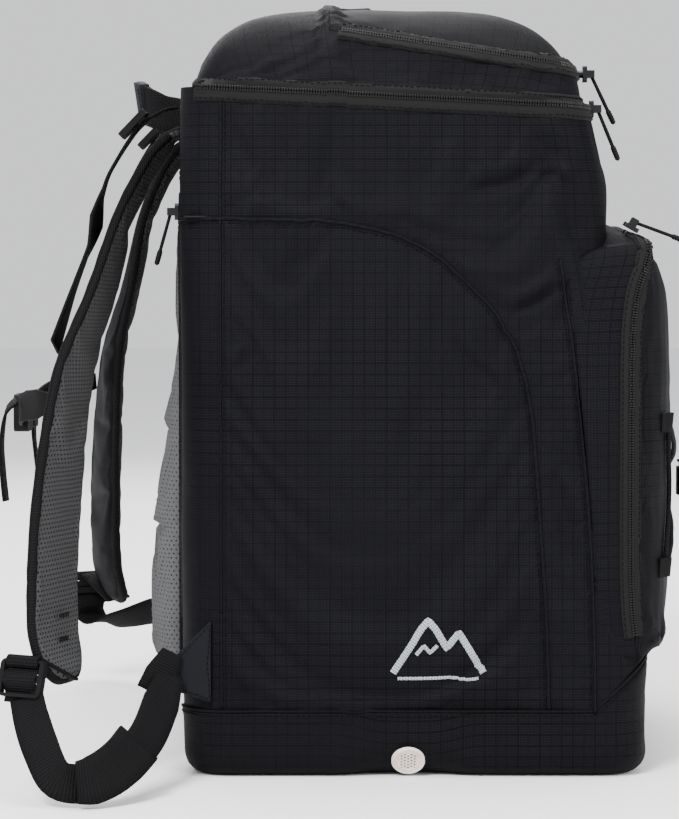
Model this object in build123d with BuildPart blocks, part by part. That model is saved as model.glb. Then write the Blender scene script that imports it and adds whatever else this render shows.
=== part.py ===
"""Ski boot backpack: a soft bag that stands on its base, with a zipped lid, a goggle pocket on the
lid, a zipped front pocket with shock cord, two boot compartments opened from the rear corners,
a haul handle and two shoulder straps with a sternum strap.

Frame: +X is the bag's front, -X its back panel, -Y the wearer's left, +Z up. The origin is the
centre of the base's flat underside. Units are millimetres and degrees.
"""

import os
from math import cos, radians, sin, tan

from build123d import *

# Body
half_width = 180.0
back_x = -154.0
front_x = 154.0
corner_radius = 30.0
wall = 3.0
gap = 0.4
seat = 0.05

# Base tub: its top edge is low along the sides and climbs at the front
tub_side_z = 43.0
tub_front_z = 78.0
tub_climb_x = 117.0
tub_round = 25.0

# Rim where the lid closes: a plane that drops towards the front
rim_back_z = 452.0
rim_slope = 2.9
front_top = (102.0, 455.0)
lid_back_x = -151.0
lid_front_x = 110.5
lid_half_width = 179.0
lid_top_z = 518.0

# Goggle pocket zip on the lid
top_zip_back = (-51.0, 488.0)
top_zip_slope = 8.8
top_hinge_x = -57.0

# Front pocket
pocket_half_width = 181.0
pocket_crest_x = 190.0
pocket_zip_x = 138.0
pocket_bottom_z = 79.0
# the cover's inner heel is trimmed behind and below these, so it clears the body as it opens
cover_heel_x = 155.0
cover_heel_y = 168.0
cover_heel_z = 80.6
pocket_wall = 2.5

# Boot compartments
flap_fold_x = -30.0
flap_low_z = 108.0
flap_high_z = 366.0
pod_inner_y = 52.0

# Zips
tape_wide = 7.0
tape_thick = 1.4

# Webbing
web_wide = 25.0
web_thick = 1.8
narrow_web_wide = 20.0

# Haul handle
handle_half = 52.0
handle_root_z = 440.0
handle_pivot_x = -171.0
handle_thick = 3.0

# Shoulder straps
pad_wide = 66.0
pad_thick = 15.0

os.makedirs("parts", exist_ok=True)


def write(piece, name):
    """Labels a finished piece and writes it as one STEP file."""
    piece.part.label = name
    export_step(piece.part, f"parts/{name}.step")


def in_rim_plane(x, above=0.0):
    """Height of the rim plane at x, plus a distance above it."""
    return rim_back_z - (x - lid_back_x) * tan(radians(rim_slope)) + above


def in_top_zip_plane(x, above=0.0):
    """Height of the goggle pocket's zip plane at x, plus a distance above it."""
    return top_zip_back[1] - (x - top_zip_back[0]) * tan(radians(top_zip_slope)) + above


def side_zone(outline, reach=400.0):
    """A block whose side view is the outline and which crosses the whole bag."""
    with BuildPart() as zone:
        with BuildSketch(Plane.XZ):
            with BuildLine():
                Polyline(outline, close=True)
            make_face()
        extrude(amount=reach, both=True)
    return zone.part


def slab_zone(height_at, low, high, first_x=-300.0, last_x=300.0):
    """The slab between two heights above a sloping plane."""
    return side_zone(
        [
            (first_x, height_at(first_x, low)),
            (last_x, height_at(last_x, low)),
            (last_x, height_at(last_x, high)),
            (first_x, height_at(first_x, high)),
        ]
    )


# ---------------------------------------------------------------- outer forms


def body_block(grow):
    """The body's outer form from the floor to above the rim, grown outward."""
    side = half_width + grow
    low, high = 0.0, 480.0
    back, front = back_x - grow, front_x + grow
    top_x = front_top[0] + grow
    with BuildPart() as block:
        with BuildSketch(Plane.XZ):
            with BuildLine():
                Polyline((front, tub_side_z), (front, low), (back, low), (back, high), (top_x, high))
                TangentArc((front, tub_side_z), (top_x, high), tangent=(0, 1))
            make_face()
        extrude(amount=side, both=True)
        corners = [
            edge
            for edge in block.edges()
            if abs(edge.center().Y) > side - 0.1 and abs((edge @ 1 - edge @ 0).Z) > 20
        ]
        fillet(corners, corner_radius + grow)
    return block.part


def tub_block(inset):
    """The base tub's form: the body's foot with a rounded underside."""
    with BuildPart() as block:
        add(body_block(-inset))
        split(bisect_by=Plane.XY.offset(inset), keep=Keep.TOP)
        fillet(block.faces().sort_by(Axis.Z)[0].edges(), tub_round - inset)
    return block.part


def lid_block(grow):
    """The lid's outer form, from below the rim to the crown, as three crossed outlines."""
    with BuildPart() as block:
        with BuildSketch(Plane.XZ):
            with BuildLine():
                ThreePointArc((lid_back_x, 446), (-113, 498), (-50, 514))
                ThreePointArc((-50, 514), (30, 510), (92, 486))
                ThreePointArc((92, 486), (106, 467), (lid_front_x, 432))
                Polyline((lid_front_x, 432), (lid_front_x, 400), (lid_back_x, 400), (lid_back_x, 446))
            make_face()
            if grow:
                offset(amount=grow)
        extrude(amount=300, both=True)
        with BuildSketch(Plane.YZ):
            with BuildLine():
                ThreePointArc((-lid_half_width, 432), (-168, 482), (-136, 503))
                ThreePointArc((-136, 503), (0, lid_top_z), (136, 503))
                ThreePointArc((136, 503), (168, 482), (lid_half_width, 432))
                Polyline(
                    (lid_half_width, 432), (lid_half_width, 400), (-lid_half_width, 400), (-lid_half_width, 432)
                )
            make_face()
            if grow:
                offset(amount=grow)
        extrude(amount=300, both=True, mode=Mode.INTERSECT)
        with BuildSketch(Plane.XY.offset(380)):
            with Locations(((lid_back_x + lid_front_x) / 2, 0)):
                RectangleRounded(
                    lid_front_x - lid_back_x + 2 * grow,
                    2 * (lid_half_width + grow),
                    corner_radius + grow,
                )
        extrude(amount=200, mode=Mode.INTERSECT)
    return block.part


def pocket_block(grow):
    """The front pocket's outer form: a bulging side outline crossed with a bowed plan."""
    with BuildPart() as block:
        with BuildSketch(Plane.XZ):
            with BuildLine():
                ThreePointArc((front_x + 1, pocket_bottom_z - 1), (178, 99), (186, 140))
                ThreePointArc((186, 140), (pocket_crest_x, 215), (182, 298))
                ThreePointArc((182, 298), (167, 338), (138, 357))
                Polyline(
                    (138, 357), (90, 372), (90, pocket_bottom_z - 27), (front_x + 1, pocket_bottom_z - 1)
                )
            make_face()
            if grow:
                offset(amount=grow)
        extrude(amount=250, both=True)
        with BuildSketch(Plane.XY):
            with BuildLine():
                ThreePointArc((134, -pocket_half_width), (156, -170), (170, -148))
                ThreePointArc((170, -148), (pocket_crest_x + 1, 0), (170, 148))
                ThreePointArc((170, 148), (156, 170), (134, pocket_half_width))
                Polyline(
                    (134, pocket_half_width),
                    (80, pocket_half_width),
                    (80, -pocket_half_width),
                    (134, -pocket_half_width),
                )
            make_face()
            if grow:
                offset(amount=grow)
        extrude(amount=450, mode=Mode.INTERSECT)
    return block.part


body_outer = body_block(0)
body_inner = body_block(-wall)
lid_outer = lid_block(0)
lid_inner = lid_block(-wall)
pocket_outer = pocket_block(0)
pocket_inner = pocket_block(-pocket_wall)

tub_zone = side_zone(
    [
        (-200, -10),
        (200, -10),
        (200, tub_front_z),
        (front_x, tub_front_z),
        (tub_climb_x, tub_side_z),
        (-200, tub_side_z),
    ]
)
body_zone = slab_zone(in_rim_plane, -500, 0)


# ---------------------------------------------------------------- body panels


def base_tub():
    """Moulded-look fabric tub with a flat foot, with a round hole for each drain eyelet."""
    with BuildPart() as tub:
        add(tub_block(0))
        add(tub_block(wall), mode=Mode.SUBTRACT)
        add(tub_zone, mode=Mode.INTERSECT)
        for plane in drain_planes():
            with BuildSketch(plane.offset(-12)):
                Circle(drain_barrel_radius)
            extrude(amount=20, mode=Mode.SUBTRACT)
    write(tub, "base_tub")


drain_x = -5.0
drain_tilt = 32.0
drain_barrel_radius = 8.0
drain_flange_radius = 11.0
drain_hole_radius = 0.7


def drain_planes():
    """A plane on the tub's rounded lower edge for each side, its normal pointing out."""
    planes = []
    for side in (-1, 1):
        out = Vector(0, side * cos(radians(drain_tilt)), -sin(radians(drain_tilt)))
        centre = Vector(drain_x, side * (half_width - tub_round), tub_round)
        planes.append(Plane(origin=centre + out * tub_round, x_dir=(1, 0, 0), z_dir=out))
    return planes


def drain_eyelets():
    """Two vented plugs: a flange outside, a barrel through the wall and a pierced face."""
    with BuildPart() as eyelets:
        for plane in drain_planes():
            with BuildSketch(plane):
                Circle(drain_flange_radius)
            extrude(amount=1.6)
            with BuildSketch(plane.offset(-5)):
                Circle(drain_barrel_radius - 0.1)
                Circle(drain_barrel_radius - 1.2, mode=Mode.SUBTRACT)
            extrude(amount=5)
            with BuildSketch(plane.offset(-1)):
                with HexLocations(1.25, 5, 5):
                    Circle(drain_hole_radius)
            extrude(amount=4, mode=Mode.SUBTRACT)
    write(eyelets, "drain_eyelets")


def base_board():
    """Stiff sheet that lies in the tub and keeps the foot flat."""
    flat_x = front_x - tub_round - 1
    flat_y = half_width - tub_round - 1
    with BuildPart() as board:
        with BuildSketch(Plane.XY.offset(wall + seat)):
            RectangleRounded(2 * flat_x, 2 * flat_y, 12)
        extrude(amount=2.5)
    write(board, "base_board")


def seam_block():
    """Everything in front of the seam that runs up just behind the front corners."""
    seam_back = front_x - tub_climb_x
    with BuildPart() as zone:
        with BuildSketch(Plane.XZ):
            with BuildLine():
                low_x, high_x = front_x - seam_back, front_top[0] - 20
                Polyline((low_x, tub_side_z), (low_x, -10), (300, -10), (300, 480), (high_x, 480))
                TangentArc((low_x, tub_side_z), (high_x, 480), tangent=(0, 1))
            make_face()
        extrude(amount=300, both=True)
    return zone.part


def flap_zone(side, margin):
    """The rear of a side panel, which folds open along an upright line once the boot zip is undone."""
    with BuildPart() as zone:
        with Locations(
            (
                (back_x - 20 + flap_fold_x - margin) / 2,
                side * (half_width + 10 + half_width - corner_radius + margin) / 2,
                (flap_low_z + flap_high_z) / 2,
            )
        ):
            Box(
                flap_fold_x - margin - back_x + 20,
                corner_radius + 10 - margin,
                flap_high_z - flap_low_z - 2 * margin,
            )
    return zone.part


def body_panels():
    """Front, back and side panels, cut from one wall so that their edges meet."""
    front_zone = seam_block()
    flat_y = half_width - corner_radius
    with BuildPart() as shell:
        add(body_outer)
        add(body_inner, mode=Mode.SUBTRACT)
        add(tub_zone, mode=Mode.SUBTRACT)
        add(body_zone, mode=Mode.INTERSECT)
    with BuildPart() as front_panel:
        add(shell.part)
        add(front_zone, mode=Mode.INTERSECT)
    write(front_panel, "front_panel")
    with BuildPart() as back_panel:
        add(shell.part)
        with Locations((back_x, 0, 250)):
            Box(2 * wall + 2, 2 * flat_y, 600, mode=Mode.INTERSECT)
    write(back_panel, "back_panel")
    for side, name in ((-1, "left"), (1, "right")):
        with BuildPart() as side_panel:
            add(shell.part)
            add(front_zone, mode=Mode.SUBTRACT)
            with Locations((0, side * 200, 250)):
                Box(600, 400, 600, mode=Mode.INTERSECT)
            with Locations((back_x, 0, 250)):
                Box(2 * wall + 2, 2 * flat_y, 600, mode=Mode.SUBTRACT)
            add(flap_zone(side, 0), mode=Mode.SUBTRACT)
        write(side_panel, f"side_panel_{name}")
        with BuildPart() as flap:
            add(shell.part)
            add(flap_zone(side, gap), mode=Mode.INTERSECT)
        write(flap, f"boot_flap_{name}")


def boot_zips():
    """The zip tape beside each boot flap, sewn to the back panel's edge."""
    for side, name in ((-1, "left"), (1, "right")):
        with BuildPart() as tape:
            with BuildSketch(Plane.YZ.offset(back_x - tape_thick)):
                with Locations((side * (half_width - corner_radius - 7), (flap_low_z + flap_high_z) / 2)):
                    Rectangle(12, flap_high_z - flap_low_z + 12)
            extrude(amount=tape_thick)
        write(tape, f"boot_zip_{name}")


def boot_pods():
    """The liner that walls off each boot compartment: an inner wall and an arched roof."""
    clear = 0.3
    pod_wall = 2.5
    room = tub_block(wall + clear)
    for side, name in ((-1, "left"), (1, "right")):
        with BuildPart() as pod:
            with BuildSketch(Plane.XZ.offset(-side * pod_inner_y)):
                with BuildLine():
                    arch_line(0)
                make_face()
            extrude(amount=-side * half_width)
            with BuildSketch(Plane.XZ.offset(-side * (pod_inner_y + pod_wall))):
                with BuildLine():
                    arch_line(pod_wall)
                make_face()
            extrude(amount=-side * half_width, mode=Mode.SUBTRACT)
            add(room, mode=Mode.INTERSECT)
            Box(600, 800, 2 * 7, mode=Mode.SUBTRACT)
        write(pod, f"boot_pod_{name}")


def arch_line(inset):
    """Closed side outline of a boot compartment, moved in by the inset."""
    Line((-200, 0), (-200, 366 - inset))
    Line((-200, 366 - inset), (-56, 365 - inset))
    Spline(
        (-56, 365 - inset),
        (15 - 0.7 * inset, 338 - 0.7 * inset),
        (66 - inset, 280),
        (80 - inset, 190),
        tangents=((1, 0), (0.08, -1)),
    )
    Line((80 - inset, 190), (87 - inset, 0))
    Line((87 - inset, 0), (-200, 0))


def back_pad():
    """Foam back pad in two swells with a waist between them."""
    with BuildPart() as pad:
        with BuildSketch(Plane.XZ):
            with BuildLine():
                Spline(
                    (back_x, 56),
                    (-178, 80),
                    (-182, 120),
                    (-176, 190),
                    (-164, 262),
                    (-159, 296),
                    (-164, 335),
                    (-163, 362),
                    (back_x, 384),
                )
                Line((back_x, 384), (back_x, 56))
            make_face()
        extrude(amount=131, both=True)
    write(pad, "back_pad")


def yoke_panel():
    """Reinforced patch that the straps, load lifters and haul handle are sewn to. The handle's two
    stiff ends stand out from it."""
    with BuildPart() as yoke:
        with Locations((back_x - 1.5, 0, 416)):
            Box(3, 246, 52)
        for side in (-1, 1):
            end = Vector(back_x - 2, side * handle_half, handle_root_z - 2)
            with BuildSketch(Plane(origin=end, x_dir=(0, 1, 0), z_dir=(-1, 0, 0.12))):
                Rectangle(handle_thick, web_wide)
            extrude(amount=14)
    write(yoke, "yoke_panel")


# ---------------------------------------------------------------- lid and goggle pocket


def lid_pieces():
    """The lid's shell, the flap of its goggle pocket, the pocket's floor and their zips."""
    flap_side = side_zone(
        [
            (top_hinge_x + gap, in_top_zip_plane(top_hinge_x, gap)),
            (300, in_top_zip_plane(300, gap)),
            (300, 700),
            (top_hinge_x + gap, 700),
        ]
    )
    keep_out = side_zone(
        [
            (top_hinge_x, in_top_zip_plane(top_hinge_x)),
            (300, in_top_zip_plane(300)),
            (300, 700),
            (top_hinge_x, 700),
        ]
    )
    over_rim = slab_zone(in_rim_plane, gap, 300)
    with BuildPart() as shell:
        add(lid_outer)
        add(lid_inner, mode=Mode.SUBTRACT)
        add(over_rim, mode=Mode.INTERSECT)
    with BuildPart() as lid_shell:
        add(shell.part)
        add(keep_out, mode=Mode.SUBTRACT)
    write(lid_shell, "lid_shell")
    with BuildPart() as top_flap:
        add(shell.part)
        add(flap_side, mode=Mode.INTERSECT)
    write(top_flap, "top_flap")
    with BuildPart() as liner:
        add(lid_block(-wall - seat))
        add(slab_zone(in_rim_plane, 4, 6), mode=Mode.INTERSECT)
    write(liner, "lid_liner")
    grown = lid_block(tape_thick)
    for name, low, high in (("lower", -tape_wide, -gap / 2), ("upper", 1.5 * gap, tape_wide)):
        with BuildPart() as tape:
            add(grown)
            add(lid_outer, mode=Mode.SUBTRACT)
            add(slab_zone(in_top_zip_plane, low, high, top_hinge_x + 4), mode=Mode.INTERSECT)
        write(tape, f"top_zip_{name}")
    ring = body_block(tape_thick)
    hinge_clear = lid_back_x + 4
    with BuildPart() as lower:
        add(ring)
        add(body_outer, mode=Mode.SUBTRACT)
        add(slab_zone(in_rim_plane, -9, -gap / 2, hinge_clear), mode=Mode.INTERSECT)
    write(lower, "lid_zip_lower")
    with BuildPart() as upper:
        add(ring)
        add(lid_outer, mode=Mode.SUBTRACT)
        add(slab_zone(in_rim_plane, gap, 7, hinge_clear), mode=Mode.INTERSECT)
    write(upper, "lid_zip_upper")


# ---------------------------------------------------------------- front pocket


def front_pocket():
    """Gusset on the body, opening front cover, and the zip tape on each."""
    hinge_z = pocket_bottom_z
    cover_zone = side_zone(
        [
            (pocket_zip_x + gap, hinge_z + gap),
            (400, hinge_z + gap - 40),
            (400, 600),
            (pocket_zip_x + gap, 600),
        ]
    )
    with BuildPart() as shell:
        add(pocket_outer)
        add(pocket_inner, mode=Mode.SUBTRACT)
        add(body_block(seat), mode=Mode.SUBTRACT)
        add(tub_zone, mode=Mode.SUBTRACT)
    with BuildPart() as cover:
        add(shell.part)
        add(cover_zone, mode=Mode.INTERSECT)
        with Locations((cover_heel_x - 10, 0, cover_heel_z - 3)):
            Box(20, 2 * cover_heel_y, 6, mode=Mode.SUBTRACT)
    write(cover, "front_cover")
    behind_zip = side_zone([(0, 0), (pocket_zip_x, 0), (pocket_zip_x, 500), (0, 500)])
    with BuildPart() as gusset:
        add(shell.part)
        add(behind_zip, mode=Mode.INTERSECT)
    write(gusset, "front_gusset")
    grown = pocket_block(tape_thick)
    low_end = 90.0
    bands = (("inner", pocket_zip_x - tape_wide, pocket_zip_x), ("outer", pocket_zip_x + gap, 145.5))
    for name, first_x, last_x in bands:
        with BuildPart() as tape:
            add(grown)
            add(pocket_outer, mode=Mode.SUBTRACT)
            add(
                side_zone([(first_x, low_end), (last_x, low_end), (last_x, 500), (first_x, 500)]),
                mode=Mode.INTERSECT,
            )
        write(tape, f"front_zip_{name}")


# ---------------------------------------------------------------- straps and webbing


def band(stations, thick):
    """A flat strap lofted through stations, each a centre, a direction across and a width."""
    centres = [Vector(*centre) for centre, _, _ in stations]
    with BuildPart() as strip:
        for index, (_, across, wide) in enumerate(stations):
            before = centres[max(index - 1, 0)]
            after = centres[min(index + 1, len(stations) - 1)]
            run = (after - before).normalized()
            side = Vector(*across) - run * Vector(*across).dot(run)
            with BuildSketch(Plane(origin=centres[index], x_dir=side, z_dir=run)):
                Rectangle(wide, thick)
        loft(ruled=True)
    return strip.part


def mirrored(stations, side):
    """The same stations on the wearer's left (-1) or right (1)."""
    return [((x, -side * y, z), (u, -side * v, w), wide) for (x, y, z), (u, v, w), wide in stations]


def haul_handle():
    """Loop of doubled webbing behind the lid, with a stitched wrap round its middle."""
    up = (-0.15, 0, 1)
    stations = [
        ((handle_pivot_x - 1.4, -handle_half, handle_root_z + 0.6), up, web_wide),
        ((-183, -43, 447), up, web_wide),
        ((-190, -15, 451), up, web_wide),
        ((-190, 15, 451), up, web_wide),
        ((-183, 43, 447), up, web_wide),
        ((handle_pivot_x - 1.4, handle_half, handle_root_z + 0.6), up, web_wide),
    ]
    with BuildPart() as handle:
        add(band(stations, handle_thick))
    write(handle, "haul_handle")
    with BuildPart() as grip:
        add(band([(centre, across, wide + 3) for centre, across, wide in stations], 7))
        add(band([(centre, across, wide + 0.1) for centre, across, wide in stations], handle_thick + 0.1),
            mode=Mode.SUBTRACT)
        Box(1000, 2 * 40, 2000, mode=Mode.INTERSECT)
    write(grip, "haul_grip")


def pad_stations(side):
    """The shoulder pad's run on one side, from its root at the yoke to its rounded end."""
    return mirrored(
        [
            ((-166, -84, 421), (0, 1, 0), 10),
            ((-182, -94, 401), (0, 1, 0), 40),
            ((-197, -107, 368), (0.05, 1, 0), 50),
            ((-210, -130, 318), (0.15, 1, 0), pad_wide - 8),
            ((-224, -160, 270), (0.25, 1, 0), pad_wide),
            ((-231, -186, 212), (0.32, 1, 0), pad_wide),
            ((-234, -203, 158), (0.36, 1, 0), pad_wide),
            ((-234, -213, 108), (0.36, 1, 0), pad_wide),
            ((-229, -217, 84), (0.36, 1, 0), pad_wide - 8),
            ((-225, -219, 72), (0.36, 1, 0), 34),
        ],
        side,
    )


def lower_web_stations(side):
    """Webbing from the base anchor to the pad's ladder lock: it droops further on the left."""
    if side < 0:
        return mirrored(
            [
                ((-161, -187, 66), (1, 0, 0.8), 12),
                ((-166, -204, 50), (1, 0, 0.7), web_wide),
                ((-172, -232, 32), (1, 0.2, 0.6), web_wide),
                ((-182, -258, 18), (0.6, 0.6, 0.6), web_wide),
                ((-195, -279, 10), (0.1, 0.8, 0.55), web_wide),
                ((-211, -287, 10), (-0.3, 0.7, 0.6), web_wide),
                ((-228, -284, 19), (-0.8, 0.4, 0.3), web_wide),
                ((-240, -272, 36), (-1, 0.5, 0), web_wide),
                ((-246, -256, 52), (-1, 0.6, 0), web_wide),
            ],
            side,
        )
    return mirrored(
        [
            ((-161, -187, 68), (0, 0.3, 1), 12),
            ((-172, -206, 64), (0, 0.5, 1), web_wide),
            ((-196, -230, 60), (0, 0.6, 0.8), web_wide),
            ((-222, -245, 52), (-0.4, 0.8, 0.5), web_wide),
            ((-240, -253, 49), (-0.8, 0.6, 0.2), web_wide),
            ((-250, -257, 55), (-1, 0.6, 0), web_wide),
        ],
        side,
    )


def ladder_lock(plane, name, wide):
    """Three-bar adjuster: a curved-looking frame with two slots, lying in its plane."""
    with BuildPart(plane) as lock:
        with BuildSketch(plane):
            RectangleRounded(wide + 8, 24, 4)
            with Locations((0, 6.2), (0, -6.2)):
                Rectangle(wide + 1.5, 7.4, mode=Mode.SUBTRACT)
        extrude(amount=2.2, both=True)
    write(lock, name)


def shoulder_straps():
    """Pad, lower webbing, ladder lock, lifter webbing with its buckle, and base anchor."""
    for side, name in ((-1, "left"), (1, "right")):
        with BuildPart() as pad:
            add(band(pad_stations(side), pad_thick))
        write(pad, f"shoulder_pad_{name}")
        with BuildPart() as lower:
            add(band(lower_web_stations(side), web_thick))
        write(lower, f"lower_webbing_{name}")
        lock_plane = Plane(
            origin=(-250, side * 249, 76), x_dir=(1, side * 0.55, 0), z_dir=(-0.55, side, 0.35)
        )
        ladder_lock(lock_plane, f"ladder_lock_{name}", web_wide)
        lifter = mirrored(
            [
                ((-160, -78, 443), (0, 1, 0), 8),
                ((-172, -84, 439), (0, 1, 0), narrow_web_wide),
                ((-187, -93, 427), (0, 1, 0), narrow_web_wide),
                ((-203, -104, 401), (0, 1, 0), narrow_web_wide),
                ((-213, -116, 370), (0.05, 1, 0), narrow_web_wide),
                ((-223, -135, 330), (0.15, 1, 0), narrow_web_wide),
                ((-237, -160, 282), (0.25, 1, 0), narrow_web_wide),
            ],
            side,
        )
        with BuildPart() as lifter_web:
            add(band(lifter, web_thick))
        write(lifter_web, f"lifter_webbing_{name}")
        buckle_plane = Plane(
            origin=(-189.5, side * 92.5, 431), x_dir=(0, 1, 0), z_dir=(-0.72, 0, 0.7)
        )
        ladder_lock(buckle_plane, f"lifter_buckle_{name}", narrow_web_wide)
        with BuildPart() as anchor:
            with BuildSketch(Plane.XZ.offset(-side * (half_width + 0.1))):
                with BuildLine():
                    Polyline((-134, 104), (-158, 80), (-158, 58), (-134, 50), close=True)
                make_face()
            extrude(amount=-side * 2.2)
        write(anchor, f"strap_anchor_{name}")


def sternum_strap():
    """Two halves of the chest strap, each a webbing with a hanging tail and half of a
    side-release buckle, drawn just unclipped in the middle."""
    for side, name in ((-1, "left"), (1, "right")):
        run = mirrored(
            [
                ((-238, -166, 246), (0, 0, 1), 10),
                ((-250, -150, 244), (0, 0, 1), narrow_web_wide),
                ((-266, -100, 239), (0, 0, 1), narrow_web_wide),
                ((-272, -41, 233), (0, 0, 1), narrow_web_wide),
            ],
            side,
        )
        tail = mirrored(
            [
                ((-269, -100, 242), (0, 1, 0.3), narrow_web_wide),
                ((-279, -103, 215), (0, 1, 0.2), narrow_web_wide),
                ((-276, -106, 175), (0, 1, 0.3), narrow_web_wide),
            ],
            side,
        )
        with BuildPart() as webbing:
            add(band(run, web_thick))
            add(band(tail, web_thick))
        write(webbing, f"sternum_webbing_{name}")
    centre = Plane(origin=(-273, 0, 232), x_dir=(0, 1, 0), z_dir=(-1, 0, 0))
    with BuildPart() as female:
        with BuildSketch(centre):
            with Locations((-23, 0)):
                RectangleRounded(34, 26, 5)
        extrude(amount=5, both=True)
        with BuildSketch(centre):
            with Locations((-17, 0)):
                Rectangle(22.2, 17)
        extrude(amount=2.6, both=True, mode=Mode.SUBTRACT)
    write(female, "sternum_buckle_female")
    with BuildPart() as male:
        with BuildSketch(centre):
            with Locations((30, 0)):
                RectangleRounded(20, 26, 4)
        extrude(amount=4, both=True)
        with BuildSketch(centre):
            with Locations((14, 7), (14, -7)):
                Rectangle(14, 3)
        extrude(amount=2, both=True)
    write(male, "sternum_buckle_male")


# ---------------------------------------------------------------- zip sliders and pulls

bar_height = 6.0
bar_radius = 0.9
eye_radius = 2.2
eye_hole = 1.3
slider_gap = 0.8


def zip_slider(seat_plane, name):
    """Slider on the outside of a zip: a body, two lugs and the bar that carries the pull."""
    with BuildPart() as slider:
        with BuildSketch(seat_plane.offset(slider_gap)):
            RectangleRounded(9.4, 11, 2)
        extrude(amount=2.6)
        with BuildSketch(seat_plane.offset(slider_gap)):
            with Locations((-3.6, 0), (3.6, 0)):
                Rectangle(1.8, 5)
        extrude(amount=bar_height + 1.6)
        with BuildSketch(Plane(origin=seat_plane.from_local_coords((-4, 0, bar_height)), z_dir=seat_plane.x_dir)):
            Circle(bar_radius)
        extrude(amount=8)
    write(slider, name)


def zip_pull(seat_plane, tilt, name):
    """Pull that hangs from the slider's bar, tilted out from the cloth: eye, cord and moulded end."""
    up = seat_plane.y_dir * cos(radians(tilt)) - seat_plane.z_dir * sin(radians(tilt))
    out = seat_plane.z_dir * cos(radians(tilt)) + seat_plane.y_dir * sin(radians(tilt))
    centre = seat_plane.from_local_coords((0, 0, bar_height))
    face = Plane(origin=centre, x_dir=seat_plane.x_dir, z_dir=out)
    with BuildPart() as pull:
        with BuildSketch(Plane(origin=centre, x_dir=up, z_dir=seat_plane.x_dir)):
            Circle(eye_radius)
        extrude(amount=2.1, both=True)
        with BuildSketch(face):
            with Locations((0, -12)):
                Rectangle(2.6, 22)
            with Locations((0, -28)):
                RectangleRounded(6, 20, 2.4)
        extrude(amount=1.2, both=True)
        with BuildSketch(Plane(origin=centre, x_dir=up, z_dir=seat_plane.x_dir)):
            Circle(eye_hole)
        extrude(amount=5, both=True, mode=Mode.SUBTRACT)
    write(pull, name)


def zip_furniture():
    """A slider and its pull on each of the five zips."""
    lid_x = body_front_at(in_rim_plane(lid_front_x) - 7) + tape_thick
    boot_seat_y = half_width - corner_radius - 7
    seats = {
        "lid": (Plane((lid_x, -140, in_rim_plane(lid_front_x)), (0, 1, 0), (1, 0, 0)), 22),
        "top": (Plane((lid_front_x + 1.2, -118, in_top_zip_plane(lid_front_x)), (0, 1, 0), (1, 0, 0)), 25),
        "front": (Plane((141.4, -146, 358.9), (0, 1, 0), (0.5, 0, 0.866)), 10),
        "boot_left": (Plane((back_x - tape_thick, -boot_seat_y, 371), (0, -1, 0), (-1, 0, 0)), 15),
        "boot_right": (Plane((back_x - tape_thick, boot_seat_y, 371), (0, -1, 0), (-1, 0, 0)), 15),
    }
    for name, (seat_plane, tilt) in seats.items():
        zip_slider(seat_plane, f"{name}_slider")
        zip_pull(seat_plane, tilt, f"{name}_pull")
        bar = seat_plane.from_local_coords((0, 0, bar_height))
        print(name, "bar at", [round(value, 2) for value in bar])


def body_front_at(height):
    """The x of the body's front face at a height: an arc that leaves the base upright."""
    lean, rise = front_x - front_top[0], 480.0 - tub_side_z
    bend = (lean**2 + rise**2) / (2 * lean)
    return front_x - bend + (bend**2 - (height - tub_side_z) ** 2) ** 0.5


# ---------------------------------------------------------------- shock cord

cord_radius = 1.75
cord_standoff = 4.2


def on_cover(y, z):
    """A point just outside the pocket's front at (y, z)."""
    hits = pocket_outer.find_intersection_points(Axis((400, y, z), (-1, 0, 0)))
    nearest = max(point.X for point, _ in hits)
    return Vector(nearest + cord_standoff, y, z)


def shock_cord():
    """Elastic cord laced over the front pocket between four side loops and a cord lock."""
    high, low, out = 232.0, 136.0, 150.0
    with BuildPart() as cord:
        for near_side in (-1, 1):
            route = [
                on_cover(near_side * out, high),
                on_cover(near_side * 100, high - 18),
                on_cover(near_side * 50, high - 32),
                on_cover(near_side * 12, high - 38),
            ]
            add(tube(route))
            route = [
                on_cover(near_side * out, low),
                on_cover(near_side * 100, low + 16),
                on_cover(near_side * 50, low + 30),
                on_cover(near_side * 12, low + 38),
            ]
            add(tube(route))
    write(cord, "shock_cord")
    with BuildPart() as loops:
        for y in (-out, out):
            for z in (high, low):
                spot = on_cover(y, z)
                inward = Vector(0, -y, 0).normalized()
                face = Plane(origin=spot - inward * 2.2 - Vector(3.4, 0, 0), x_dir=(0, 0, 1), z_dir=(1, 0, 0))
                with BuildSketch(face):
                    RectangleRounded(15, 9, 3)
                extrude(amount=1.6)
    write(loops, "cord_loops")
    hub = on_cover(0, (high - 38 + low + 38) / 2)
    with BuildPart() as lock:
        with BuildSketch(Plane(origin=hub + Vector(1.5, 0, -12), z_dir=(0, 0, 1))):
            RectangleRounded(9, 16, 3)
        extrude(amount=20)
        with BuildSketch(Plane(origin=hub + Vector(1.5, 0, -3), z_dir=(0, 0, 1))):
            Circle(3.6)
        extrude(amount=20, mode=Mode.SUBTRACT)
    write(lock, "cord_lock_body")
    with BuildPart() as button:
        with BuildSketch(Plane(origin=hub + Vector(1.5, 0, 2.4), z_dir=(0, 0, 1))):
            Circle(3.2)
        extrude(amount=9)
        with BuildSketch(Plane(origin=hub + Vector(1.5, 0, 11.4), z_dir=(0, 0, 1))):
            Circle(4.4)
        extrude(amount=1.8)
    write(button, "cord_lock_button")
    print("cord lock at", [round(value, 2) for value in hub])


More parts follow.
